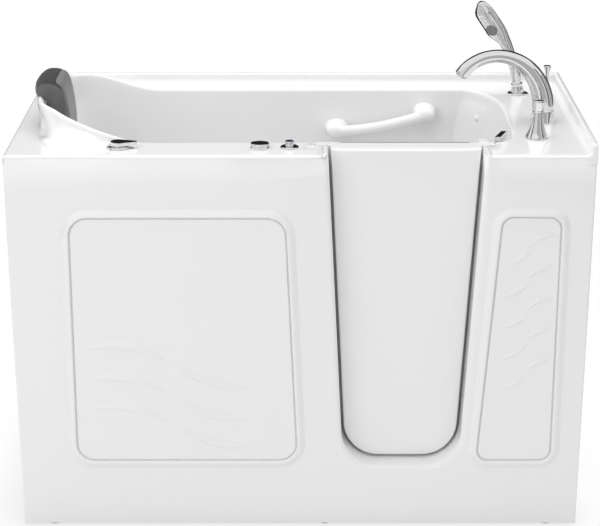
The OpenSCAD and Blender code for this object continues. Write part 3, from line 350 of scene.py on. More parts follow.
n_turn, n_sweep, n_back, n_head = len(tx), len(sx), len(bx), len(hx)
i_back = n_turn + n_sweep
i_head = i_back + n_back
i_run = i_head + n_head
count = len(px)
col = np.arange(count)
is_head = (col >= i_head) & (col < i_run)
is_front = (col >= i_run) | (col < n_turn)

# outward direction of the outline at each column
dx = np.roll(px, -1) - np.roll(px, 1)
dy = np.roll(py, -1) - np.roll(py, 1)
size = np.hypot(dx, dy)
nx, ny = dy / size, -dx / size
straight = (col >= i_run) | ((col >= i_back) & (col < i_head))
nx = np.where(straight, 0, nx)
ny = np.where(straight, np.sign(py - MID), ny)

# where each column meets the deck's outer edge: the columns fan out at the deck's corners
p_cut = int(np.argmin(np.abs(tx - pocket_r)))
outer = np.zeros((count, 2))
outer[i_run:, 0], outer[i_run:, 1] = run_x, FACE
outer[:p_cut + 1, 0], outer[:p_cut + 1, 1] = tx[:p_cut + 1], FACE
k = int(np.argmin(np.abs(turn - np.radians(-45))))
j = n_turn + 12
q = i_head + int(0.26 * (n_head - 1))
r = i_run - 1 - int(0.26 * (n_head - 1))
outer[i_back:i_head, 0], outer[i_back:i_head, 1] = bx, BACK
for first, stop, a, b in (
        (p_cut, k + 1, (pocket_r, FACE), (RIGHT, FACE)),
        (k, n_turn + 1, (RIGHT, FACE), (RIGHT, 40)),
        (n_turn, j + 1, (RIGHT, 40), (RIGHT, BACK)), (j, i_back, (RIGHT, BACK), (sx[-1], BACK)),
        (i_head, q + 1, (HOOD_X, BACK), (LEFT, BACK)), (q, r + 1, (LEFT, BACK), (LEFT, FACE)),
        (r, i_run, (LEFT, FACE), (HOOD_X, FACE))):
    outer[first:stop] = np.linspace(a, b, stop - first)
ox, oy = outer[:, 0], outer[:, 1]


def smooth(t):
    """An S-shaped step from nought to one."""
    t = np.clip(t, 0, 1)
    return t * t * (3 - 2 * t)


# the hood: its crest climbs from the deck in front, and drops to a lower arm behind the pillow.
# Its foot flares out at the tub's front and back, most in front, with a low step round it.
CREST_H, CREST_FALL, ARM_H, ARM_Y, STEP = 92, 12, 46, 151.5, 17
s = np.clip((HOOD_X - px) / HEAD_LONG, 0, 1)
behind = smooth((py - ARM_Y) / 90)
rise = ((1 - behind) * (CREST_H * s ** 1.3 - CREST_FALL * smooth((s - 0.8) / 0.2))
        + behind * ARM_H * smooth(1.25 * s))
flare = np.where(ny < 0, 78, 28) * np.abs(ny) ** 3 * smooth((HOOD_X - 62.5 - px) / 105)
hooded = smooth(rise / 14)
rim_w = RIM - hooded
foot = 9 + 7 * hooded + flare
step_z = STEP * smooth(rise / 44) * smooth(flare / 60)
step_o = np.minimum(foot - 0.5, 2 * rim_w + 5 + STEP * smooth(flare / 60))

rows = []


def row(o, z):
    """Adds a row of points at distance o outside the outline and height z."""
    rows.append(np.stack([px + nx * o, py + ny * o, np.broadcast_to(z, px.shape)], -1))


# outer edge: a short skirt, then a round along the front and left edges
front_in, left_in = (oy < FACE + 1), (ox < LEFT + 1)
for a in [None] + list(np.radians(np.linspace(0, 90, 7))):
    inset = 0 if a is None else EDGE * (1 - math.cos(a))
    z = SKIRT if a is None else DECK - EDGE * (1 - math.sin(a))
    rows.append(np.stack([ox + inset * left_in, oy + inset * front_in, ox * 0 + z], -1))
edge_row = rows[-1]
fx, fy = px + nx * foot, py + ny * foot
shelf = (SEAL_Y - fy[-1]) / (edge_row[-1, 1] - fy[-1])
for v in (0.85, 0.6, shelf, 0.12):
    rows.append(np.stack([fx + (edge_row[:, 0] - fx) * v, fy + (edge_row[:, 1] - fy) * v,
                          fx * 0 + DECK], -1))
shelf_row = len(rows) - 2
for a in np.radians(np.linspace(0, 90, 8)):
    row(step_o + (foot - step_o) * math.cos(a), DECK + step_z * math.sin(a) ** 1.4)
# the rim: a smooth curve up from the deck, then a round over its crest and down inside
start_a = np.radians(90) * (1 - hooded)
top_z = DECK + rise - RIM
end_o, end_z = rim_w + rim_w * np.cos(start_a), top_z + RIM * np.sin(start_a)
reach = np.hypot(end_o - step_o, end_z - DECK - step_z)
for t in np.linspace(0, 1, 9)[1:]:
    a, b, c, d = 2 * t**3 - 3 * t**2 + 1, t**3 - 2 * t**2 + t, 3 * t**2 - 2 * t**3, t**3 - t**2
    row(a * step_o - b * 0.75 * reach + c * end_o - d * np.sin(start_a) * reach,
        a * (DECK + step_z) + b * 0.5 * reach * hooded + c * end_z + d * np.cos(start_a) * reach)
for t in np.linspace(0, 1, 9)[1:]:
    a = start_a + (math.pi - start_a) * t
    row(rim_w + rim_w * np.cos(a), top_z + RIM * np.sin(a))
for t in (0.25, 0.5, 0.75):
    row(0, top_z + (RIM_LOW - top_z) * t)


def backrest(z):
    """The backrest's x at height z: a straight lean down to 458.7 mm, then a round of radius
    ROUND about x -432.07 into the seat."""
    return np.where(z > 458.7, HOOD_X - HEAD_LONG + 150 * (DECK - z) / (DECK - SEAT),
                    -432.07 - np.sqrt(np.maximum(0, ROUND ** 2 - (SEAT + ROUND - z) ** 2)))


# the hollow, level by level: a height, and the least x that its points keep to. They run down
# the backrest, along the seat, over its nose, and down the riser into the foot well.
levels = [(z, LEFT) for z in (RIM_LOW, 870, 820, 760, 700, 640, 580, 530, 500, 485, 475, 467, 460,
                              454, 448, 443, 438, 434, 431.5, 430.3, SEAT)]
levels += [(SEAT, x) for x in (-420, -400, -380, -362, -320, -260, -200, -140, -80, -40, -10, 8)]
levels += [(SEAT - NOSE + NOSE * math.cos(a), SEAT_X - NOSE + NOSE * math.sin(a))
           for a in np.radians([18, 36, 54, 72, 90])]
levels += [(z, SEAT_X + NOSE - math.sqrt(NOSE ** 2 - max(0, WELL + NOSE - z) ** 2)) for z in
           (385, 350, 310, 270, 249, 235, 220, 205, 190, 175, 162, 150, 142, 135, 130, 127, 124,
            122, 119, 116, 113, 111.3, 110.4, WELL)]


def doorway_edge(z):
    """Half the pocket's width at height z, in to the flat part of its foot below the corners."""
    zc = SILL + DOOR_R
    r = DOOR_R + POCKET
    xc = door_half(zc) - DOOR_R / LEAN
    side = door_half(max(z, zc - r * SLOPE * LEAN)) + POCKET / LEAN
    fall = min(max(zc - z, 0), r)
    return side if z > zc - r * SLOPE * LEAN else xc + math.sqrt(r * r - fall * fall)


for z, stop in levels:
    squeeze = (HOOD_X - backrest(max(z, SEAT))) / HEAD_LONG
    x, y = px.copy(), py.copy()
    x = np.where(is_head, HOOD_X + (px - HOOD_X) * squeeze, x)
    half = doorway_edge(z)
    knots = [HOOD_X, pocket_l, pocket_r, END_X + END_LONG]
    wider = [HOOD_X, DOOR_X - half, DOOR_X + half, END_X + END_LONG]
    x = np.where(is_front & ~is_head, np.interp(x, knots, wider), x)
    along = np.clip((x - END_X) / END_LONG, 0, 1)
    y = np.where(is_front & (x > END_X), END_Y + (FRONT_Y - END_Y) * (1 - along ** 5) ** 0.2, y)
    slant = np.clip((col - n_turn) / (n_sweep - 1), 0, 1) ** 2 * (col < i_back)
    x = x - slant * END_LEAN * (DECK - max(z, SEAT))
    over_seat = 1 - smooth((x - SEAT_X + 60) / 120)
    cut = ROUND - math.sqrt(ROUND ** 2 - max(0, SEAT + ROUND - max(z, SEAT)) ** 2)
    cut = cut * over_seat * (1 - smooth((SEAT - z) / 60))
    low = np.where(is_front, 10, ROUND)
    fall = np.maximum(0, WELL + low - z)
    cut = np.maximum(cut, low - np.sqrt(np.maximum(0, low ** 2 - fall ** 2)))
    x, y = x - nx * cut, y - ny * cut
    rows.append(np.stack([np.maximum(x, stop), y, x * 0 + z], -1))
last = rows[-1]
centre = np.array([270, MID, WELL])
for v in (0.85, 0.6, 0.3, 0):
    rows.append(centre + (last - centre) * v)

# the sheet leaves out the doorway and its pocket, down to the pocket's foot
shell = np.array(rows)
i_cut_l = i_run + int(np.argmin(np.abs(run_x - cut_l)))
i_pocket_l = i_run + int(np.argmin(np.abs(run_x - pocket_l)))
keep = np.ones(shell.shape[:2], bool)
wide = (col >= i_pocket_l) | (col < p_cut)
low_row = next(i for i in range(len(rows)) if rows[i][0, 2] <= 122.01 and i > shelf_row + 30)
keep[0, oy < FACE + 1] = False
keep[:shelf_row][:, col >= i_cut_l] = False
keep[shelf_row:low_row][:, wide] = False
tub = formed("tub_shell", [net(shell, round_cols=True, keep=keep)], "deck", "headrest_hood",
             "basin", up=(0, 0, 1), merge=2e-5)
# a crisp line stays where the slanting end wall meets the back wall
co = np.empty(len(tub.data.vertices) * 3)
tub.data.vertices.foreach_get("co", co)
co = co.reshape(-1, 3) * 1000
at_corner = ((np.abs(co[:, 1] - BACK_Y) < 0.5) & (co[:, 2] > SEAT + 10) & (co[:, 2] < SKIRT)
             & (np.abs(co[:, 0] - sx[-1] + END_LEAN * (DECK - co[:, 2])) < 0.6))
ends = np.empty(len(tub.data.edges) * 2, int)
tub.data.edges.foreach_get("vertices", ends)
crease = tub.data.attributes.new("sharp_edge", "BOOLEAN", "EDGE")
crease.data.foreach_set("value", at_corner[ends.reshape(-1, 2)].all(1))
wall(tub, 0.005)

# ---- Tiling lip ----
# A raised flange along the back and the drain end, which the wall tiles cover. It is part
# of the same moulding and rises from the deck in a hollow curve.

a = np.radians(np.linspace(0, 90, 7))
lip = np.concatenate([
    [[27.5, 939.4], [27, 940]],
    np.stack([27 - 15 * np.sin(a), 955 - 15 * np.cos(a)], -1)[1:],
    np.stack([7 + 5 * np.cos(a), 963 + 5 * np.sin(a)], -1),
    np.stack([4 - 4 * np.sin(a), 964 + 4 * np.cos(a)], -1),
    [[0, 924], [20, 924]]])
LIP_X, LIP_Y, LIP_R = 673.0, 330.0, 3.0       # its outer faces, and the round at its ends


def drawn_in(t):
    """The lip's section, drawn in towards its heart as its end's round does at angle t."""
    way = np.array([7, 936]) - lip
    step = np.linalg.norm(way, axis=1, keepdims=True)
    return lip + way / step * np.minimum(LIP_R * (1 - math.sin(t)), step * 0.9)


def lip_points(end, along, p):
    """The section carried to one place: the drain end for 0, the corner for 1, the back for 2."""
    d, z = p[:, 0], p[:, 1]
    if end == 0:
        drop = max(0, FACE + EDGE - max(along, FACE))
        z = z - EDGE + math.sqrt(EDGE ** 2 - drop ** 2)
        return np.stack([LIP_X - d, d * 0 + along, z], -1)
    if end == 1:
        return np.stack([LIP_X - d, LIP_Y - d, z], -1)
    return np.stack([d * 0 + along, LIP_Y - d, z], -1)


turns = np.radians([0, 20, 45, 70, 90])
stations = [lip_points(0, FACE - 0.6 + LIP_R * (1 - math.cos(t)), drawn_in(t)) for t in turns]
stations += [lip_points(0, y, lip) for y in (FACE + 4.2, FACE + 5.6, FACE + 7, FACE + 12)]
stations += [lip_points(1, 0, lip)]
stations += [lip_points(2, LEFT + LIP_R * (1 - math.cos(t)), drawn_in(t)) for t in turns[::-1]]
stations = ([stations[0] * 0 + [666, FACE - 0.6, 929]] + stations
            + [stations[-1] * 0 + [LEFT, 323, 936]])
formed("tiling_lip", [net(np.array(stations), round_cols=True)])

# ---- Door frame ----
# A white acrylic moulding round the doorway. It turns in from the apron's face, runs back to
# the sealing face and ends in the pocket that takes the door's flange.


def door_path(off, top):
    """The door's outline in x and z, moved out by off and open at the top: a slanting side, a
    quarter round, the flat foot, and the same again upwards."""
    zc = SILL + DOOR_R
    xc = door_half(zc) - DOOR_R / LEAN
    r = DOOR_R + off
    tilt = math.atan(SLOPE)
    top_x = door_half(top) + off / LEAN
    a = np.linspace(math.pi + tilt, 1.5 * math.pi, 14)
    arc = np.stack([-xc + r * np.cos(a), zc + r * np.sin(a)], -1)
    s = np.linspace(0, 1, 14)[:-1, None]
    left = np.array([-top_x, top]) + (arc[0] - np.array([-top_x, top])) * s
    base = np.stack([np.linspace(-xc, xc, 8)[1:-1], np.full(6, zc - r)], -1)
    right = np.concatenate([left, arc])[::-1] * [-1, 1]
    return np.concatenate([left, arc, base, right]) + [DOOR_X, 0]


def edge_top(y):
    """Height of the deck's rounded front edge at depth y."""
    return DECK - EDGE + math.sqrt(max(0, EDGE ** 2 - max(0, FACE + EDGE - y) ** 2))


def at_depth(xz, y):
    """Points in x and z set at depth y."""
    return np.stack([xz[:, 0], np.full(len(xz), y), xz[:, 1]], -1)


frame_edge = [(MOUTH - 12 * math.sin(t), FACE + 12 * (1 - math.cos(t)))
              for t in np.radians(np.linspace(0, 90, 9))]
frame_edge += [(6.5, -300), (6.5, -280), (6.5, -262), (6.5, -248), (7, -246), (8.5, SEAL_Y),
               (20, SEAL_Y), (34.5, SEAL_Y), (36.5, -243.5), (36.9, -241), (36.9, -215.4)]
jamb_rows = np.array([at_depth(door_path(o, edge_top(y)), y) for o, y in frame_edge])
# level strips close the gap between the frame's top and the deck on both sides
caps = []
for side, out_x in ((0, cut_l), (-1, cut_r)):
    edge = np.array([[r[side] for r in jamb_rows[:13]]])
    far = edge.copy()
    far[..., 0] = out_x
    caps.append(net(np.concatenate([edge, far])))
wall(formed("door_frame_tops", caps, up=(0, 0, 1)), 0.003)

# ---- Apron ----
# The white front skirt, formed with the doorway cut out of it, two framing beads with round
# corners, and short raised wave strokes inside them.

path = door_path(MOUTH, edge_top(FACE))
n_side, n_path = 13, len(path)      # points on each slanting side, and on the whole path
SIDE, LOW, TURN_IN = 667.0, 7.0, 6.0      # the flat face's half width and foot, and its edge
target = np.zeros((n_path, 2))
down = np.linspace(path[0, 1], LOW, n_side)
target[:n_side, 0], target[:n_side, 1] = -SIDE, down
target[n_side:-n_side, 0] = np.linspace(-SIDE, SIDE, n_path - 2 * n_side + 2)[1:-1]
target[n_side:-n_side, 1] = LOW
target[-n_side:, 0], target[-n_side:, 1] = SIDE, down[::-1]
apron_rows = list(jamb_rows[::-1])
for v in (0.3, 0.65, 1.0):
    apron_rows.append(at_depth(path + (target - path) * v, FACE))
at = np.arange(n_path)
side_n = np.where(at < n_side, -1, np.where(at >= n_path - n_side, 1, 0))
down_n = np.where((at >= n_side - 1) & (at <= n_path - n_side), -1, 0)
for t in np.radians([15, 30, 45, 60, 75, 90]):
    p = target + math.sin(t) * np.stack([side_n * TURN_IN, down_n * 3], -1)
    apron_rows.append(at_depth(p, FACE + TURN_IN * (1 - math.cos(t))))
apron_rows = np.array(apron_rows)


def panel_path(corners, r, off):
    """A slanting four-sided outline with round corners, moved out by off: each corner is an
    arc whose centre lies r minus off inside both its sides."""
    c = np.array(corners, float)
    pts = []
    for i in range(4):
        p, m, n = c[i - 1], c[i], c[(i + 1) % 4]
        a, b = (m - p) / np.linalg.norm(m - p), (n - m) / np.linalg.norm(n - m)
        na, nb = np.array([a[1], -a[0]]), np.array([b[1], -b[0]])
        mid = m - (na + nb) / (1 + na @ nb) * r
        t0, t1 = math.atan2(na[1], na[0]), math.atan2(nb[1], nb[0])
        t1 += 2 * math.pi if t1 < t0 else 0
        t = np.linspace(t0, t1, 12)
        pts.append(mid + (r + off) * np.stack([np.cos(t), np.sin(t)], -1))
    return np.concatenate(pts)


left_panel = [(-535, 177), (-5, 177), (-33, 793), (-531, 793)]
right_panel = [(422, 177), (602, 177), (600, 795), (463, 797)]
# the section of a bead and of the raised panel inside it: distance outwards, and height
PANEL_H = 4.5
bead = [(22, -0.3), (21, 0), (19.5, 0.4), (17.5, 1.5), (14.5, 3.6), (11, 6.0), (7.5, 7.9),
        (4.8, 8.7), (3, 8.7), (1.6, 8.0), (0.7, 6.5), (0.3, 4.6), (0, 2), (0, 0.15), (-1.4, 0.1),
        (-2.8, 0.15), (-2.8, 2), (-3.1, 3.6), (-3.9, 4.3), (-5, PANEL_H), (-8, PANEL_H),
        (-20, PANEL_H)]
beads = []
for c, r in ((left_panel, 44), (right_panel, 28)):
    rings = [at_depth(panel_path(c, r, w), FACE - h) for w, h in bead]
    beads.append(net(np.array(rings + [pole(rings[-1])]), round_cols=True))


def stroke(x, z, wide, high):
    """A raised stroke along the curve of x and z: a round ridge that is a little steeper below,
    and narrows to nothing at both ends, as half a sine wave to the power 0.6."""
    t = np.linspace(0, 1, len(x))
    fat = np.maximum(0.001, np.sin(math.pi * t)) ** 0.6
    y = FACE - PANEL_H + 0.05
    ridge = ((-0.46, -0.1), (-0.38, 0.1), (-0.24, 0.5), (-0.1, 0.88), (0.02, 1.0), (0.16, 0.92),
             (0.34, 0.62), (0.52, 0.3), (0.7, 0.08), (0.8, -0.1))
    return net(np.array([np.stack([x, y - h * high * fat, z + v * wide * fat], -1)
                         for v, h in ridge]))


# three pairs of strokes on the left panel, and five on the right one
t = np.linspace(0, 1, 37)
waves = []
for z0, z1 in ((471, 425), (389, 341), (313, 268)):
    waves.append(stroke(-500 + 186 * t, z0 + 8 * np.sin(math.pi * t) - 34 * t ** 2.6, 22, 4.0))
    waves.append(stroke(-296 + 176 * t, z1 + 3 - 60 * (1 - (1 - t) ** 2.4) + 5 * t * t, 20, 4.0))
for i in range(5):
    waves.append(stroke(473 + 60 * t, 682 - 78.5 * i + 33 * t ** 1.8, 14, 3.0))
    waves.append(stroke(524 + 63 * t, 725 - 78.5 * i + 28 * (1 - (1 - t) ** 2), 14, 3.0))
apron = formed("apron_sheet", [net(apron_rows)], "front_apron", "door_jamb", up=(0, -1, 0))
wall(apron, 0.005, 50)
formed("apron_beads", beads, up=(0, -1, 0))
formed("apron_waves", waves, up=(0, -1, 0))

# ---- Door ----
# A hollow white moulding that fills the doorway. Its face swells a little and its inner half
# ends in a flange, which the water presses against the seal.
DOOR_FACE, DOOR_BACK, DOOR_EDGE = -277.0, -215.3, 6.0


def door_loop(off, y, top):
    """The door's outline closed along its top edge, at depth y, moved out by off."""
    p = door_path(off, top)
    return at_depth(np.concatenate([p, np.linspace(p[-1], p[0], 26)[1:-1]]), y)


def swell(p):
    """Sets the door's face: flat in its middle, and falling back by the fifth power towards
    its sides and foot."""
    s = np.abs(p[:, 0] - DOOR_X) / door_half(p[:, 2])
    low = np.clip((SILL + 150 - p[:, 2]) / 150, 0, 1)
    q = p.copy()
    q[:, 1] = DOOR_FACE + 5.5 * np.clip(s, 0, 1) ** 5 + 1.5 * low ** 3
    return q


inner_loop = swell(door_loop(-DOOR_EDGE, 0, DECK - DOOR_EDGE))
hub = np.array([DOOR_X, 0, 560.0])
door_rows = []
for v in (0.02, 0.25, 0.45, 0.62, 0.76, 0.86, 0.93, 0.97):
    door_rows.append(swell(hub + (inner_loop - hub) * v))
door_rows.append(inner_loop)
for t in np.radians([15, 30, 45, 60, 75, 90]):
    shrink = DOOR_EDGE * (1 - math.sin(t))
    q = door_loop(-shrink, 0, DECK - shrink)
    q[:, 1] = inner_loop[:, 1] + DOOR_EDGE * (1 - math.cos(t))
    door_rows.append(q)


def flange_loop(off, y):
    """A loop of the inner half: it grows at the sides and foot, while its top stays level with
    the deck and leans forward over the seal's groove."""
    q = door_loop(off, y, DECK)
    if y < -239:
        q[:, 1] -= 3.1 * smooth((q[:, 2] - 928) / 10)
    return q


door_rows += [flange_loop(off, y) for off, y in (
    (0, -244.5), (2, -241.3), (31, -241.3), (33.5, -239.5), (34, -236), (34, -221), (33, -217),
    (30, DOOR_BACK), (-16, DOOR_BACK), (-20, -216.5), (-24, -219))]
back_loop = door_rows[-1]
for v in (0.8, 0.5, 0.02):
    q = hub + (back_loop - hub) * v
    q[:, 1] = back_loop[:, 1]
    door_rows.append(q)
door_rows[0], door_rows[-1] = pole(door_rows[0]), pole(door_rows[-1])
door = put("door_moulding", [net(np.array(door_rows), round_cols=True)], acrylic, "door",
           "acrylic", ("door_outer", "door_inner"))
door.data.set_sharp_from_angle(angle=math.radians(60))

# ---- Grab bar ----
# A white moulded handle on the back wall: two bulging ends stand out from the wall and a
# slimmer bar sweeps up between them. The three forms are blended into one skin.


def tube(centre, across, up, wide, high, n=24):
    """A closed tube: ellipses of half sizes wide and high about each centre, capped at its ends."""
    t = np.linspace(0, 2 * math.pi, n, endpoint=False)
    ring = (centre[:, None] + across[:, None] * (wide[:, None, None] * np.cos(t)[None, :, None])
            + up[:, None] * (high[:, None, None] * np.sin(t)[None, :, None]))
    ends = centre[:1, None] + ring[:1] * 0, centre[-1:, None] + ring[:1] * 0
    return net(np.concatenate([ends[0], ring, ends[1]]), round_cols=True)


def frames(path):
    """Unit directions of a path in the x-z plane: along it, and its normal in that plane."""
    d = np.gradient(path, axis=0)
    d /= np.linalg.norm(d, axis=1, keepdims=True)
    side = np.tile([0.0, 1.0, 0.0], (len(path), 1))
    return d, side, np.cross(side, d)


BAR_X, BAR_LONG, BAR_Z, BAR_RISE = 91.5, 228.0, 838.0, 42.0
t = np.linspace(0, 1, 33)
bar = np.stack([BAR_X + BAR_LONG * t, 226 - 3 * np.sin(math.pi * t),
                BAR_Z + BAR_RISE * t ** 1.7], -1)
side, up = frames(bar)[1:]
fat = 14.5 + 2 * (2 * t - 1) ** 4
grab_parts = [tube(bar, side, up, fat * 0.85, fat)]
depth = np.array([268.5, 262, 250, 236, 226, 220, 216, 213.5, 212.4])
width = np.array([23, 24, 22.5, 21, 19.5, 17, 13, 8, 3.0])
for x, z, broad in ((BAR_X + 2.5, BAR_Z, 1.32), (BAR_X + BAR_LONG + 1, BAR_Z + BAR_RISE, 1.26)):
    c = np.stack([depth * 0 + x, depth, depth * 0 + z + 1.5], -1)
    ex, ez = np.tile([1.0, 0, 0], (9, 1)), np.tile([0, 0, 1.0], (9, 1))
    grab_parts.append(tube(c, ex, ez, width * broad, width * 0.98, 32))
grab = formed("grab_handle", grab_parts, "grab_bar")
m = grab.modifiers.new("join", "REMESH")
m.mode, m.voxel_size, m.use_smooth_shade = "VOXEL", 0.0016, True
m = grab.modifiers.new("blend", "SMOOTH")
m.factor, m.iterations = 0.5, 14

# ---- Pillow ----
# A dark grey headrest of self-skinned foam, hung over the hood, with painted shade darkening its
# top. It is soft and full, so its form is swelled by a short cloth simulation.

# its section, in x and z: up the front, over the hood's crest, and down behind it
hook = np.array([(-549, 910), (-550, 930), (-551, 955), (-553, 985), (-557, 1012), (-561, 1032),
                 (-564, 1042), (-571, 1050), (-583, 1055.5), (-598, 1057.5), (-611, 1056),
                 (-619.5, 1051), (-625, 1043), (-626.5, 1033), (-626.5, 1024), (-624, 1018),
                 (-619, 1013), (-612, 1012.5), (-606, 1011.5), (-602, 1008), (-600, 1001),
                 (-600, 990), (-602, 970), (-603, 950), (-603, 930), (-601, 912), (-595, 904),
                 (-580, 901), (-562, 902), (-552, 904)], float)
heart = np.array([-590.0, 1030.0])
PILLOW_Y, PILLOW_HALF, PAD_HALF = -27.5, 74.0, 66.0
rings = []
for v in np.linspace(-90, 90, 37):
    s = math.sin(math.radians(v))
    crown = max(0.0, 1 - abs(s) ** 6) ** 0.5
    p = heart + (hook - heart) * (0.88 + 0.12 * crown)
    low = hook[:, 1] < 1019
    p[low] = heart + (hook[low] - heart) * (0.92 + 0.08 * crown)
    bulge = 6 * (1 - s * s) * smooth((hook[:, 1] - 1022) / 16) * smooth((-598 - hook[:, 0]) / 20)
    p = p - np.stack([bulge, 3 * (p[:, 1] > 1030)], -1)
    rings.append(at_depth(p, PILLOW_Y + PILLOW_HALF * s))
middle = [-590, 0, 1035]
tip, far = rings[0] * [0, 1, 0] + middle, rings[-1] * [0, 1, 0] + middle
inner = [middle + (r - middle) * [0.75, 1, 0.75] for r in (rings[0], rings[-1])]
grid = np.concatenate([[tip], [inner[0]], rings, [inner[1]], [far]])
foam = moulded("pillow_foam", (0.115, 0.117, 0.12), 0.42, mottle=0.22, scale=9, grain=0.5,
               grain_scale=700, sheen=0.15)
# painted shade: a darker colour is mixed in where the foam faces upwards
tree = foam.node_tree
facing = node(tree, "SeparateXYZ")
top_shade_mask = node(tree, "MapRange", From_Min=0.15, From_Max=0.6)
painted_top_shade = node(tree, "Mix")
painted_top_shade.data_type = "RGBA"
# the dark colour of the painted shade on the pillow's top
painted_top_shade.inputs[7].default_value = (0.028, 0.029, 0.031, 1)
base = tree.nodes["Principled BSDF"].inputs["Base Color"]
wire(tree, node(tree, "NewGeometry").outputs["Normal"], facing.inputs[0],
     facing.outputs["Z"], top_shade_mask.inputs["Value"], top_shade_mask.outputs["Result"], painted_top_shade.inputs[0],
     base.links[0].from_socket, painted_top_shade.inputs[6], painted_top_shade.outputs[2], base)
pillow = put("pillow_pad", [net(grid, round_cols=True)], foam, "tub", "pillow", ("pillow",))


def plump(o, pressure, cap):
    """Swells a pad: remeshed evenly, blown up as weightless cloth, no point moving past cap."""
    scene = bpy.context.scene
    m = o.modifiers.new("even", "REMESH")
    m.mode, m.voxel_size = "VOXEL", 0.005
    bpy.context.view_layer.objects.active = o
    bpy.ops.object.modifier_apply(modifier=m.name)
    before = np.empty(len(o.data.vertices) * 3)
    o.data.vertices.foreach_get("co", before)
    cloth = o.modifiers.new("swell", "CLOTH")
    cloth.settings.use_pressure = True
    cloth.settings.uniform_pressure_force = pressure
    cloth.settings.effector_weights.gravity = 0
    cloth.settings.tension_stiffness = cloth.settings.compression_stiffness = 15
    for f in range(1, 21):
        scene.frame_set(f)
    bpy.ops.object.modifier_apply(modifier=cloth.name)
    scene.frame_set(1)
    after = np.empty_like(before)
    o.data.vertices.foreach_get("co", after)
    move = (after - before).reshape(-1, 3)
    far = np.linalg.norm(move, axis=1, keepdims=True)
    move *= np.minimum(1, cap / np.maximum(far, 1e-9))
    o.data.vertices.foreach_set("co", (before.reshape(-1, 3) + move).ravel())
    o.data.update()


# a pad is stitched on the bather's side; its lighter foam is painted light on that side
front = np.array([(-548, 912), (-549, 932), (-550, 955), (-552, 982), (-556, 1009), (-560, 1028),
                  (-565, 1043), (-571, 1052)], float)
pad_rows = []
for v in np.linspace(-90, 90, 31):
    s = math.sin(math.radians(v))
    round_off = max(0.0, 1 - abs(s) ** 5) ** 0.5
    mid_line = front.mean(0) + (front - front.mean(0)) * (0.86 + 0.14 * round_off)
    out = np.stack([mid_line[:, 0] + 3 * round_off, mid_line[:, 1]], -1)
    back = np.stack([mid_line[:, 0] - 14, mid_line[:, 1] - 3], -1)[::-1]
    loop = np.concatenate([out, [[mid_line[-1, 0] - 5, mid_line[-1, 1] + 3]], back,
                           [[mid_line[0, 0] - 5, mid_line[0, 1] - 5]]])
    pad_rows.append(at_depth(loop, PILLOW_Y + PAD_HALF * s))
pad_rows = [pole(pad_rows[0])] + pad_rows + [pole(pad_rows[-1])]
# lighter than the pillow's own foam: painted light on the side facing the bather
painted_light_foam = moulded("pillow_front_painted_light", (0.17, 0.172, 0.175), 0.5, mottle=0.18, scale=12,
                    grain=0.5, grain_scale=700, sheen=0.2)
pad = put("pillow_front", [net(np.array(pad_rows), round_cols=True)], painted_light_foam, "tub", "pillow")

plump(pillow, 3.0, 0.002)
plump(pad, 3.0, 0.0015)
for o in (pillow, pad):
    m = o.modifiers.new("soft", "SUBSURF")
    m.levels = m.render_levels = 1
    o.data.shade_smooth()

# ---- Taps ----
# Polished chromed castings, bolted down through the deck: an arched spout with a pull-up
# diverter rod, a trumpet-shaped mixer handle, and a hand shower that stands in a cradle.


def polished(name, colour, rough, smear=0.25):
    """A bright metal: its gloss and its tint vary over fine smears."""
    m = bpy.data.materials.new(name)
    m.use_nodes = True
    t = m.node_tree
    skin = t.nodes["Principled BSDF"]
    skin.inputs["Metallic"].default_value = 1.0
    place = node(t, "TexCoord").outputs["Object"]
    smears = node(t, "TexNoise", Scale=35, Detail=5)
    gloss = node(t, "MapRange", To_Min=rough * (1 - smear), To_Max=rough * (1 + smear))
    tint = varied(t, colour, 0.03)
    wire(t, place, smears.inputs["Vector"], smears.outputs["Fac"], gloss.inputs["Value"],
         gloss.outputs["Result"], skin.inputs["Roughness"], smears.outputs["Fac"], tint.inputs[0],
         tint.outputs[2], skin.inputs["Base Color"])
    return m


chrome = polished("chrome", (0.73, 0.735, 0.74), 0.06)


def chromed(name, parts, body, *nodes):
    """A chromed piece of a body, which stands for the nodes."""
    return put(name, parts, chrome, body, "chrome", nodes)


def turned(profile, place, n=48, tilt=0.0):
    """A lathe-turned form: a profile of radius and height spun about the axis through place."""
    p = np.array(profile, float)
    a = np.linspace(0, 2 * math.pi, n, endpoint=False)
    x, y, z = p[:, :1] * np.cos(a), p[:, :1] * np.sin(a), p[:, 1:] + 0 * a
    c, s = math.cos(math.radians(tilt)), math.sin(math.radians(tilt))
    return net(np.stack([c * x + s * z + place[0], y + place[1], c * z - s * x + place[2]], -1),
               round_cols=True)


SPOUT_X, SPOUT_Y = 584.0, -40.0
SPOUT_TURN, SPOUT_REACH, SPOUT_LOW, SPOUT_H, CREST = 62.0, 198.0, 970.0, 131.0, 0.6


def spout_line(t):
    """The spout's middle line: a quarter ellipse up from the deck to the crest, then part of a
    tighter one down."""
    end = math.radians(SPOUT_TURN)
    back, fore, drop = SPOUT_REACH * 0.57, SPOUT_REACH * 0.43, 46 / (1 - math.cos(end))
    a = np.radians(90 * t / CREST)
    b = np.radians(SPOUT_TURN * (t - CREST) / (1 - CREST))
    x = np.where(t < CREST, back * (1 - np.cos(a)), back + fore / math.sin(end) * np.sin(b))
    z = np.where(t < CREST, SPOUT_H * np.sin(a), SPOUT_H - drop * (1 - np.cos(b)))
    return np.stack([SPOUT_X - x, 0 * x + SPOUT_Y, SPOUT_LOW + z], -1)


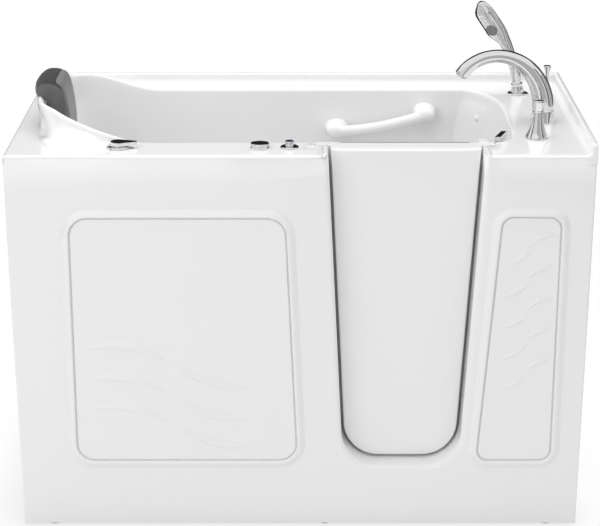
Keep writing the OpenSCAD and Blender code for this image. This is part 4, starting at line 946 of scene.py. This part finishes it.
t = np.linspace(0, 1, 161)
line = spout_line(t)
along, side, up = frames(line)
half = 26 - 10.5 * smooth(t / 0.62) + 1.2 * smooth((t - 0.8) / 0.2)
tip, way = line[-1], along[-1]
ends = [(0.3, 0.98), (1.2, 0.93)]
line = np.concatenate([[[SPOUT_X, SPOUT_Y, 941.5], [SPOUT_X, SPOUT_Y, 955]], line,
                       [tip + way * d for d, f in ends]])
side = np.pad(side, ((2, 2), (0, 0)), "edge")
up = np.concatenate([[[-1.0, 0, 0], [-1.0, 0, 0]], up, up[-1:], up[-1:]])
half = np.concatenate([[26.4, 26.2], half, [half[-1] * f for d, f in ends]])
chromed("spout_arch", [tube(line, side, up, half, half, 72)], "tub", "spout")
rod_at = (595, -2, 0)
chromed("spout_base", [
    turned([(0, DECK), (27.5, DECK), (27.8, 941), (27.5, 942.6), (26.6, 943.6), (26.4, 969),
            (25.6, 970.5), (0, 970.5)], (SPOUT_X, SPOUT_Y, 0), 56),
    turned([(0, DECK), (9.5, DECK), (9.8, 941), (9.4, 945), (8.4, 947.6), (4, 948), (0, 948)],
           rod_at, 32)], "tub", "spout_foot")
chromed("aerator_ring", [
    turned([(0, 0), (12.5, 0), (12.8, -0.8), (12.5, -4), (11, -4.4), (10.5, -3), (0, -3)],
           tip + way * 0.3, 40, math.degrees(math.atan2(way[0], way[2])) + 180)], "tub", "aerator")
chromed("lift_knob", [
    turned([(0, 911), (3, 911), (3, 1034), (3.3, 1042), (4.2, 1051), (6, 1059), (8.2, 1064.5),
            (8.8, 1066.5), (8.2, 1068), (4, 1068.8), (0, 1069)], rod_at, 32)],
    "diverter_rod", "lift_rod")

MIXER_X, MIXER_Y = 553, -178
trumpet = [(0, 0), (26.5, 0), (26.6, 1)]
trumpet += [(12 + 14.4 * (1 - t) ** 1.9, 1.5 + 56.5 * t) for t in np.linspace(0, 1, 15)]
trumpet += [(11.2, 60), (10.2, 60.8), (10.1, 63), (10.6, 64), (10.8, 80), (11.6, 81.6), (11.8, 84),
            (11.4, 86), (10, 87), (0, 87.2)]
chromed("mixer_handle", [turned(trumpet, (MIXER_X, MIXER_Y, 943.3), 56)], "tap_handle",
        "valve_handle")
chromed("mixer_rose", [
    turned([(0, DECK), (26, DECK), (26.2, 941.2), (25.6, 942.6), (23, 943), (0, 943)],
           (MIXER_X, MIXER_Y, 0), 56)], "tub", "valve_rose")

SHOWER_X, SHOWER_Y, FACE_TURN, SPRAY_AT = 555, 221, 52, 0.72
chromed("shower_stand", [
    turned([(0, DECK), (27, DECK), (27.2, 941.5), (26.4, 943.6), (24, 945), (17, 945.6),
            (0, 945.8)], (SHOWER_X, SHOWER_Y, 0), 56),
    turned([(0, 3), (17, 3), (17.4, 8), (16.6, 13), (14.8, 19), (14.5, 25), (15, 27), (14.2, 28),
            (0, 28)], (SHOWER_X, SHOWER_Y, DECK), 48, -8)], "tub", "shower_holder")


def shower_line(t):
    """The hand shower's middle line: it leans and then bows forward towards its head."""
    return np.stack([SHOWER_X - 4.5 - 20 * t - 82 * t ** 2.1, 0 * t + SHOWER_Y,
                     970 + 205 * (t - 0.03 * np.sin(math.pi * t))], -1)


t = np.linspace(0, 1, 181)
line = shower_line(t)
side, up = frames(line)[1:]
wide = (12 + 2.5 * smooth(t / 0.3) + 13.5 * smooth((t - 0.52) / 0.17)
        - 22 * np.maximum(0, (t - 0.86) / 0.14) ** 3)
deep = 12.5 + 3 * smooth((t - 0.4) / 0.2) - 9 * np.maximum(0, (t - 0.8) / 0.2) ** 2
neck = np.array([[551.5, SHOWER_Y, 956], [551, SHOWER_Y, 963]])
line = np.concatenate([neck, line])
side, up = (np.pad(v, ((2, 0), (0, 0)), "edge") for v in (side, up))
wide, deep = np.concatenate([[10.8, 10.8], wide]), np.concatenate([[10.8, 10.8], deep])
# its head turns to face the bather
face_turn = -np.radians(FACE_TURN) * smooth((np.linspace(0, 1, len(line)) - 0.35) / 0.3)[:, None]
across = side * np.cos(face_turn) + up * np.sin(face_turn)
out = up * np.cos(face_turn) - side * np.sin(face_turn)
line = line + across * 0.6 * np.maximum(0, wide - 14.5)[:, None]
chromed("shower_head", [tube(line, across, out, wide, deep, 80)], "handset", "hand_shower")
i = int(SPRAY_AT * len(t)) + len(neck)
n = out[i] if out[i][0] < 0 else -out[i]
e1 = across[i]
e2 = np.cross(n, e1)
a = np.linspace(0, 2 * math.pi, 36, endpoint=False)[:, None]
disc = [line[i] + n * h + r * (e1 * np.cos(a) + e2 * np.sin(a)) for r, h in (
    (0, 17.4), (7, 17.3), (12, 16.9), (15, 16), (16, 14.4), (16, 10.2), (0, 10.2))]
spray_rubber = moulded("spray_rubber", (0.22, 0.22, 0.23), 0.35, mottle=0.3, scale=60, grain=0.1)
put("spray_disc", [net(np.array(disc), round_cols=True)], spray_rubber, "handset", "spray",
    ("spray_face",))

# ---- Air outlet ----
# A domed cap of moulded white acrylic, pressed into the end wall over the opening where the
# warm air comes out.

a = np.radians(np.linspace(-90, 90, 15))
dome = 10.5 * np.stack([np.cos(a), np.sin(a)], -1)
formed("outlet_dome", [turned(dome, (457.5, 237.5, 871.5), 36)], "air_outlet")

# ---- Deck controls ----
# Chromed brass turnings on the front deck, each on a shank with a nut below: the massage
# lever's escutcheon, the air knob, and the start button, a sleeve with a dark top in its ring.

CONTROL_Y = -261
chromed("lever_ring", [
    turned([(5.3, 900), (10.5, 900), (10.5, DECK), (27.6, DECK), (28, 941), (27.8, 943),
            (26.8, 944.6), (24, 945.6), (18, 946), (5.3, 946), (5.3, 900)],
           (-417, CONTROL_Y, 0), 64)], "tub", "diverter_rose")
chromed("air_cap", [
    turned([(0, 926), (4.7, 926), (4.7, 946.4), (21, 946.4), (21.6, 947), (21.6, 950.6),
            (21, 951.8), (19.5, 952.6), (8, 953.3), (0, 953.4)], (-92, CONTROL_Y, 0), 56)],
    "air_control", "air_knob")
button_at = (-24, CONTROL_Y, 0)
chromed("button_sleeve", [
    turned([(0, 924), (10.2, 924), (10.2, 955.4), (9.6, 956.4), (0, 956.5)], button_at)],
    "start_button")
button_blue = moulded("button_gloss", (0.02, 0.022, 0.05), 0.15, mottle=0.15, scale=40, coat=0.5)
put("button_top", [
    turned([(0, 956), (9.2, 956), (9.2, 956.8), (8.2, 957.7), (0, 958.1)], button_at)],
    button_blue, "start_button", "button", ("button_cap",))

# ---- Latch lever ----
# A solid chromed block on a post. Its top falls a little to one side, and it swings across the
# door's edge.

LATCH_X, LATCH_Y, LATCH_LOW, LATCH_TURN, LATCH_R = 459.1, -193.0, 931.0, 68.0, 2.5
c, s = math.cos(math.radians(LATCH_TURN)), math.sin(math.radians(LATCH_TURN))
plan = []
for i, corner in enumerate(((47, 2), (-4, 2), (-4, -7), (47, -7))):
    a = np.radians(90 * i + np.linspace(0, 90, 7))
    plan.append(corner + LATCH_R * np.stack([np.cos(a), np.sin(a)], -1))
plan = np.concatenate(plan)
mid = plan.mean(0)
far = np.linalg.norm(plan - mid, axis=1, keepdims=True)
loops = []
for shrink, z in ((40, 0), (0.8, 0), (0, 0.8), (0, 16.4), (0.6, 17.2), (40, 17.2)):
    q = mid + (plan - mid) * np.maximum(0, 1 - shrink / far)
    fall = (q[:, 1] + 9.5) * 0.11 * (z > 10)
    loops.append(np.stack([LATCH_X + c * q[:, 0] - s * q[:, 1], LATCH_Y + s * q[:, 0] + c * q[:, 1],
                           LATCH_LOW + z - fall], -1))
lever = chromed("latch_block", [net(np.array(loops), round_cols=True)], "latch", "latch_lever")
lever.data.set_sharp_from_angle(angle=math.radians(40))

# ---- Other parts of the model ----
# Frame, hinges, seal, drain, plumbing, machines and the rest of the latch and controls keep
# their own forms: each is copied, its facets are merged, its edges take a small bevel, and it
# gets its own finish.


def smoothed(solid, finish):
    """A merged copy of a node of the model, with bevelled edges, that stands for it."""
    src = frame["nodes"][solid]
    mesh = src.data.copy()
    mesh.name = solid + "_skin"
    bm = bmesh.new()
    bm.from_mesh(mesh)
    bmesh.ops.remove_doubles(bm, verts=bm.verts, dist=2e-6)
    bmesh.ops.dissolve_limit(bm, angle_limit=math.radians(0.6), verts=bm.verts, edges=bm.edges)
    bm.to_mesh(mesh)
    bm.free()
    mesh.materials.clear()
    mesh.materials.append(finish)
    mesh.shade_smooth()
    mesh.set_sharp_from_angle(angle=math.radians(32))
    o = add(mesh.name, mesh)
    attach(o, src["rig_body"])
    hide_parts(solid)
    m = o.modifiers.new("edge", "BEVEL")
    m.width, m.segments, m.limit_method = 0.0006, 2, "ANGLE"
    m.angle_limit = math.radians(40)
    m.harden_normals = True


steel_paint = moulded("frame_steel", (0.55, 0.56, 0.58), 0.42, mottle=0.08, scale=14, grain=0.25)
stainless = polished("stainless", (0.66, 0.67, 0.68), 0.24, 0.4)
ply = moulded("plywood", (0.72, 0.58, 0.40), 0.6, mottle=0.14, scale=22, grain=0.6, grain_scale=300)
rubber = moulded("rubber", (0.05, 0.05, 0.05), 0.6, mottle=0.2, scale=20, grain=0.5)
seal_rubber = moulded("door_seal_rubber", (0.10, 0.10, 0.105), 0.5, mottle=0.15, scale=20,
                      grain=0.3)
pvc = moulded("pvc", (0.78, 0.79, 0.78), 0.35, mottle=0.03, scale=8, grain=0.15)
brass = polished("brass", (0.72, 0.56, 0.30), 0.3, 0.4)
motor_paint = moulded("motor_paint", (0.16, 0.17, 0.18), 0.45, mottle=0.15, scale=12, grain=0.6)
machine_black = moulded("machine_plastic", (0.10, 0.10, 0.11), 0.4, mottle=0.15, scale=10,
                        grain=0.3)
core_foam = moulded("door_core_foam", (0.80, 0.68, 0.48), 0.8, mottle=0.12, scale=40, grain=0.8,
                    grain_scale=260)

for names, finish, part in (
        (("left_end_panel", "latch_keeper", "jet_faces"), acrylic, "acrylic"),
        (("end_panel_screws", "foot_studs", "foot_nuts", "door_hinge_leaves", "frame_hinge_leaves",
          "hinge_pins"), stainless, "stainless"),
        (("long_rails", "cross_rails", "corner_posts", "top_rails", "seat_legs"), steel_paint,
         "frame_steel"),
        (("seat_board", "machine_board"), ply, "plywood"),
        (("floor_blocks", "jet_bodies", "waste_shoe", "overflow_pipe", "jet_pipes"), pvc, "pvc"),
        (("foot_pads",), rubber, "rubber"),
        (("door_seal",), seal_rubber, "seal"),
        (("door_core",), core_foam, "core"),
        (("latch_base", "diverter_lever", "air_rose", "button_bezel", "drain_flange",
          "drain_stopper", "overflow_plate"), chrome, "chrome"),
        (("valve_bodies",), brass, "brass"),
        (("pump_case", "pump_rotor", "blower_case", "blower_fan"), machine_black, "machine"),
        (("pump_motor",), motor_paint, "motor")):
    for name in names:
        smoothed(name, finish)
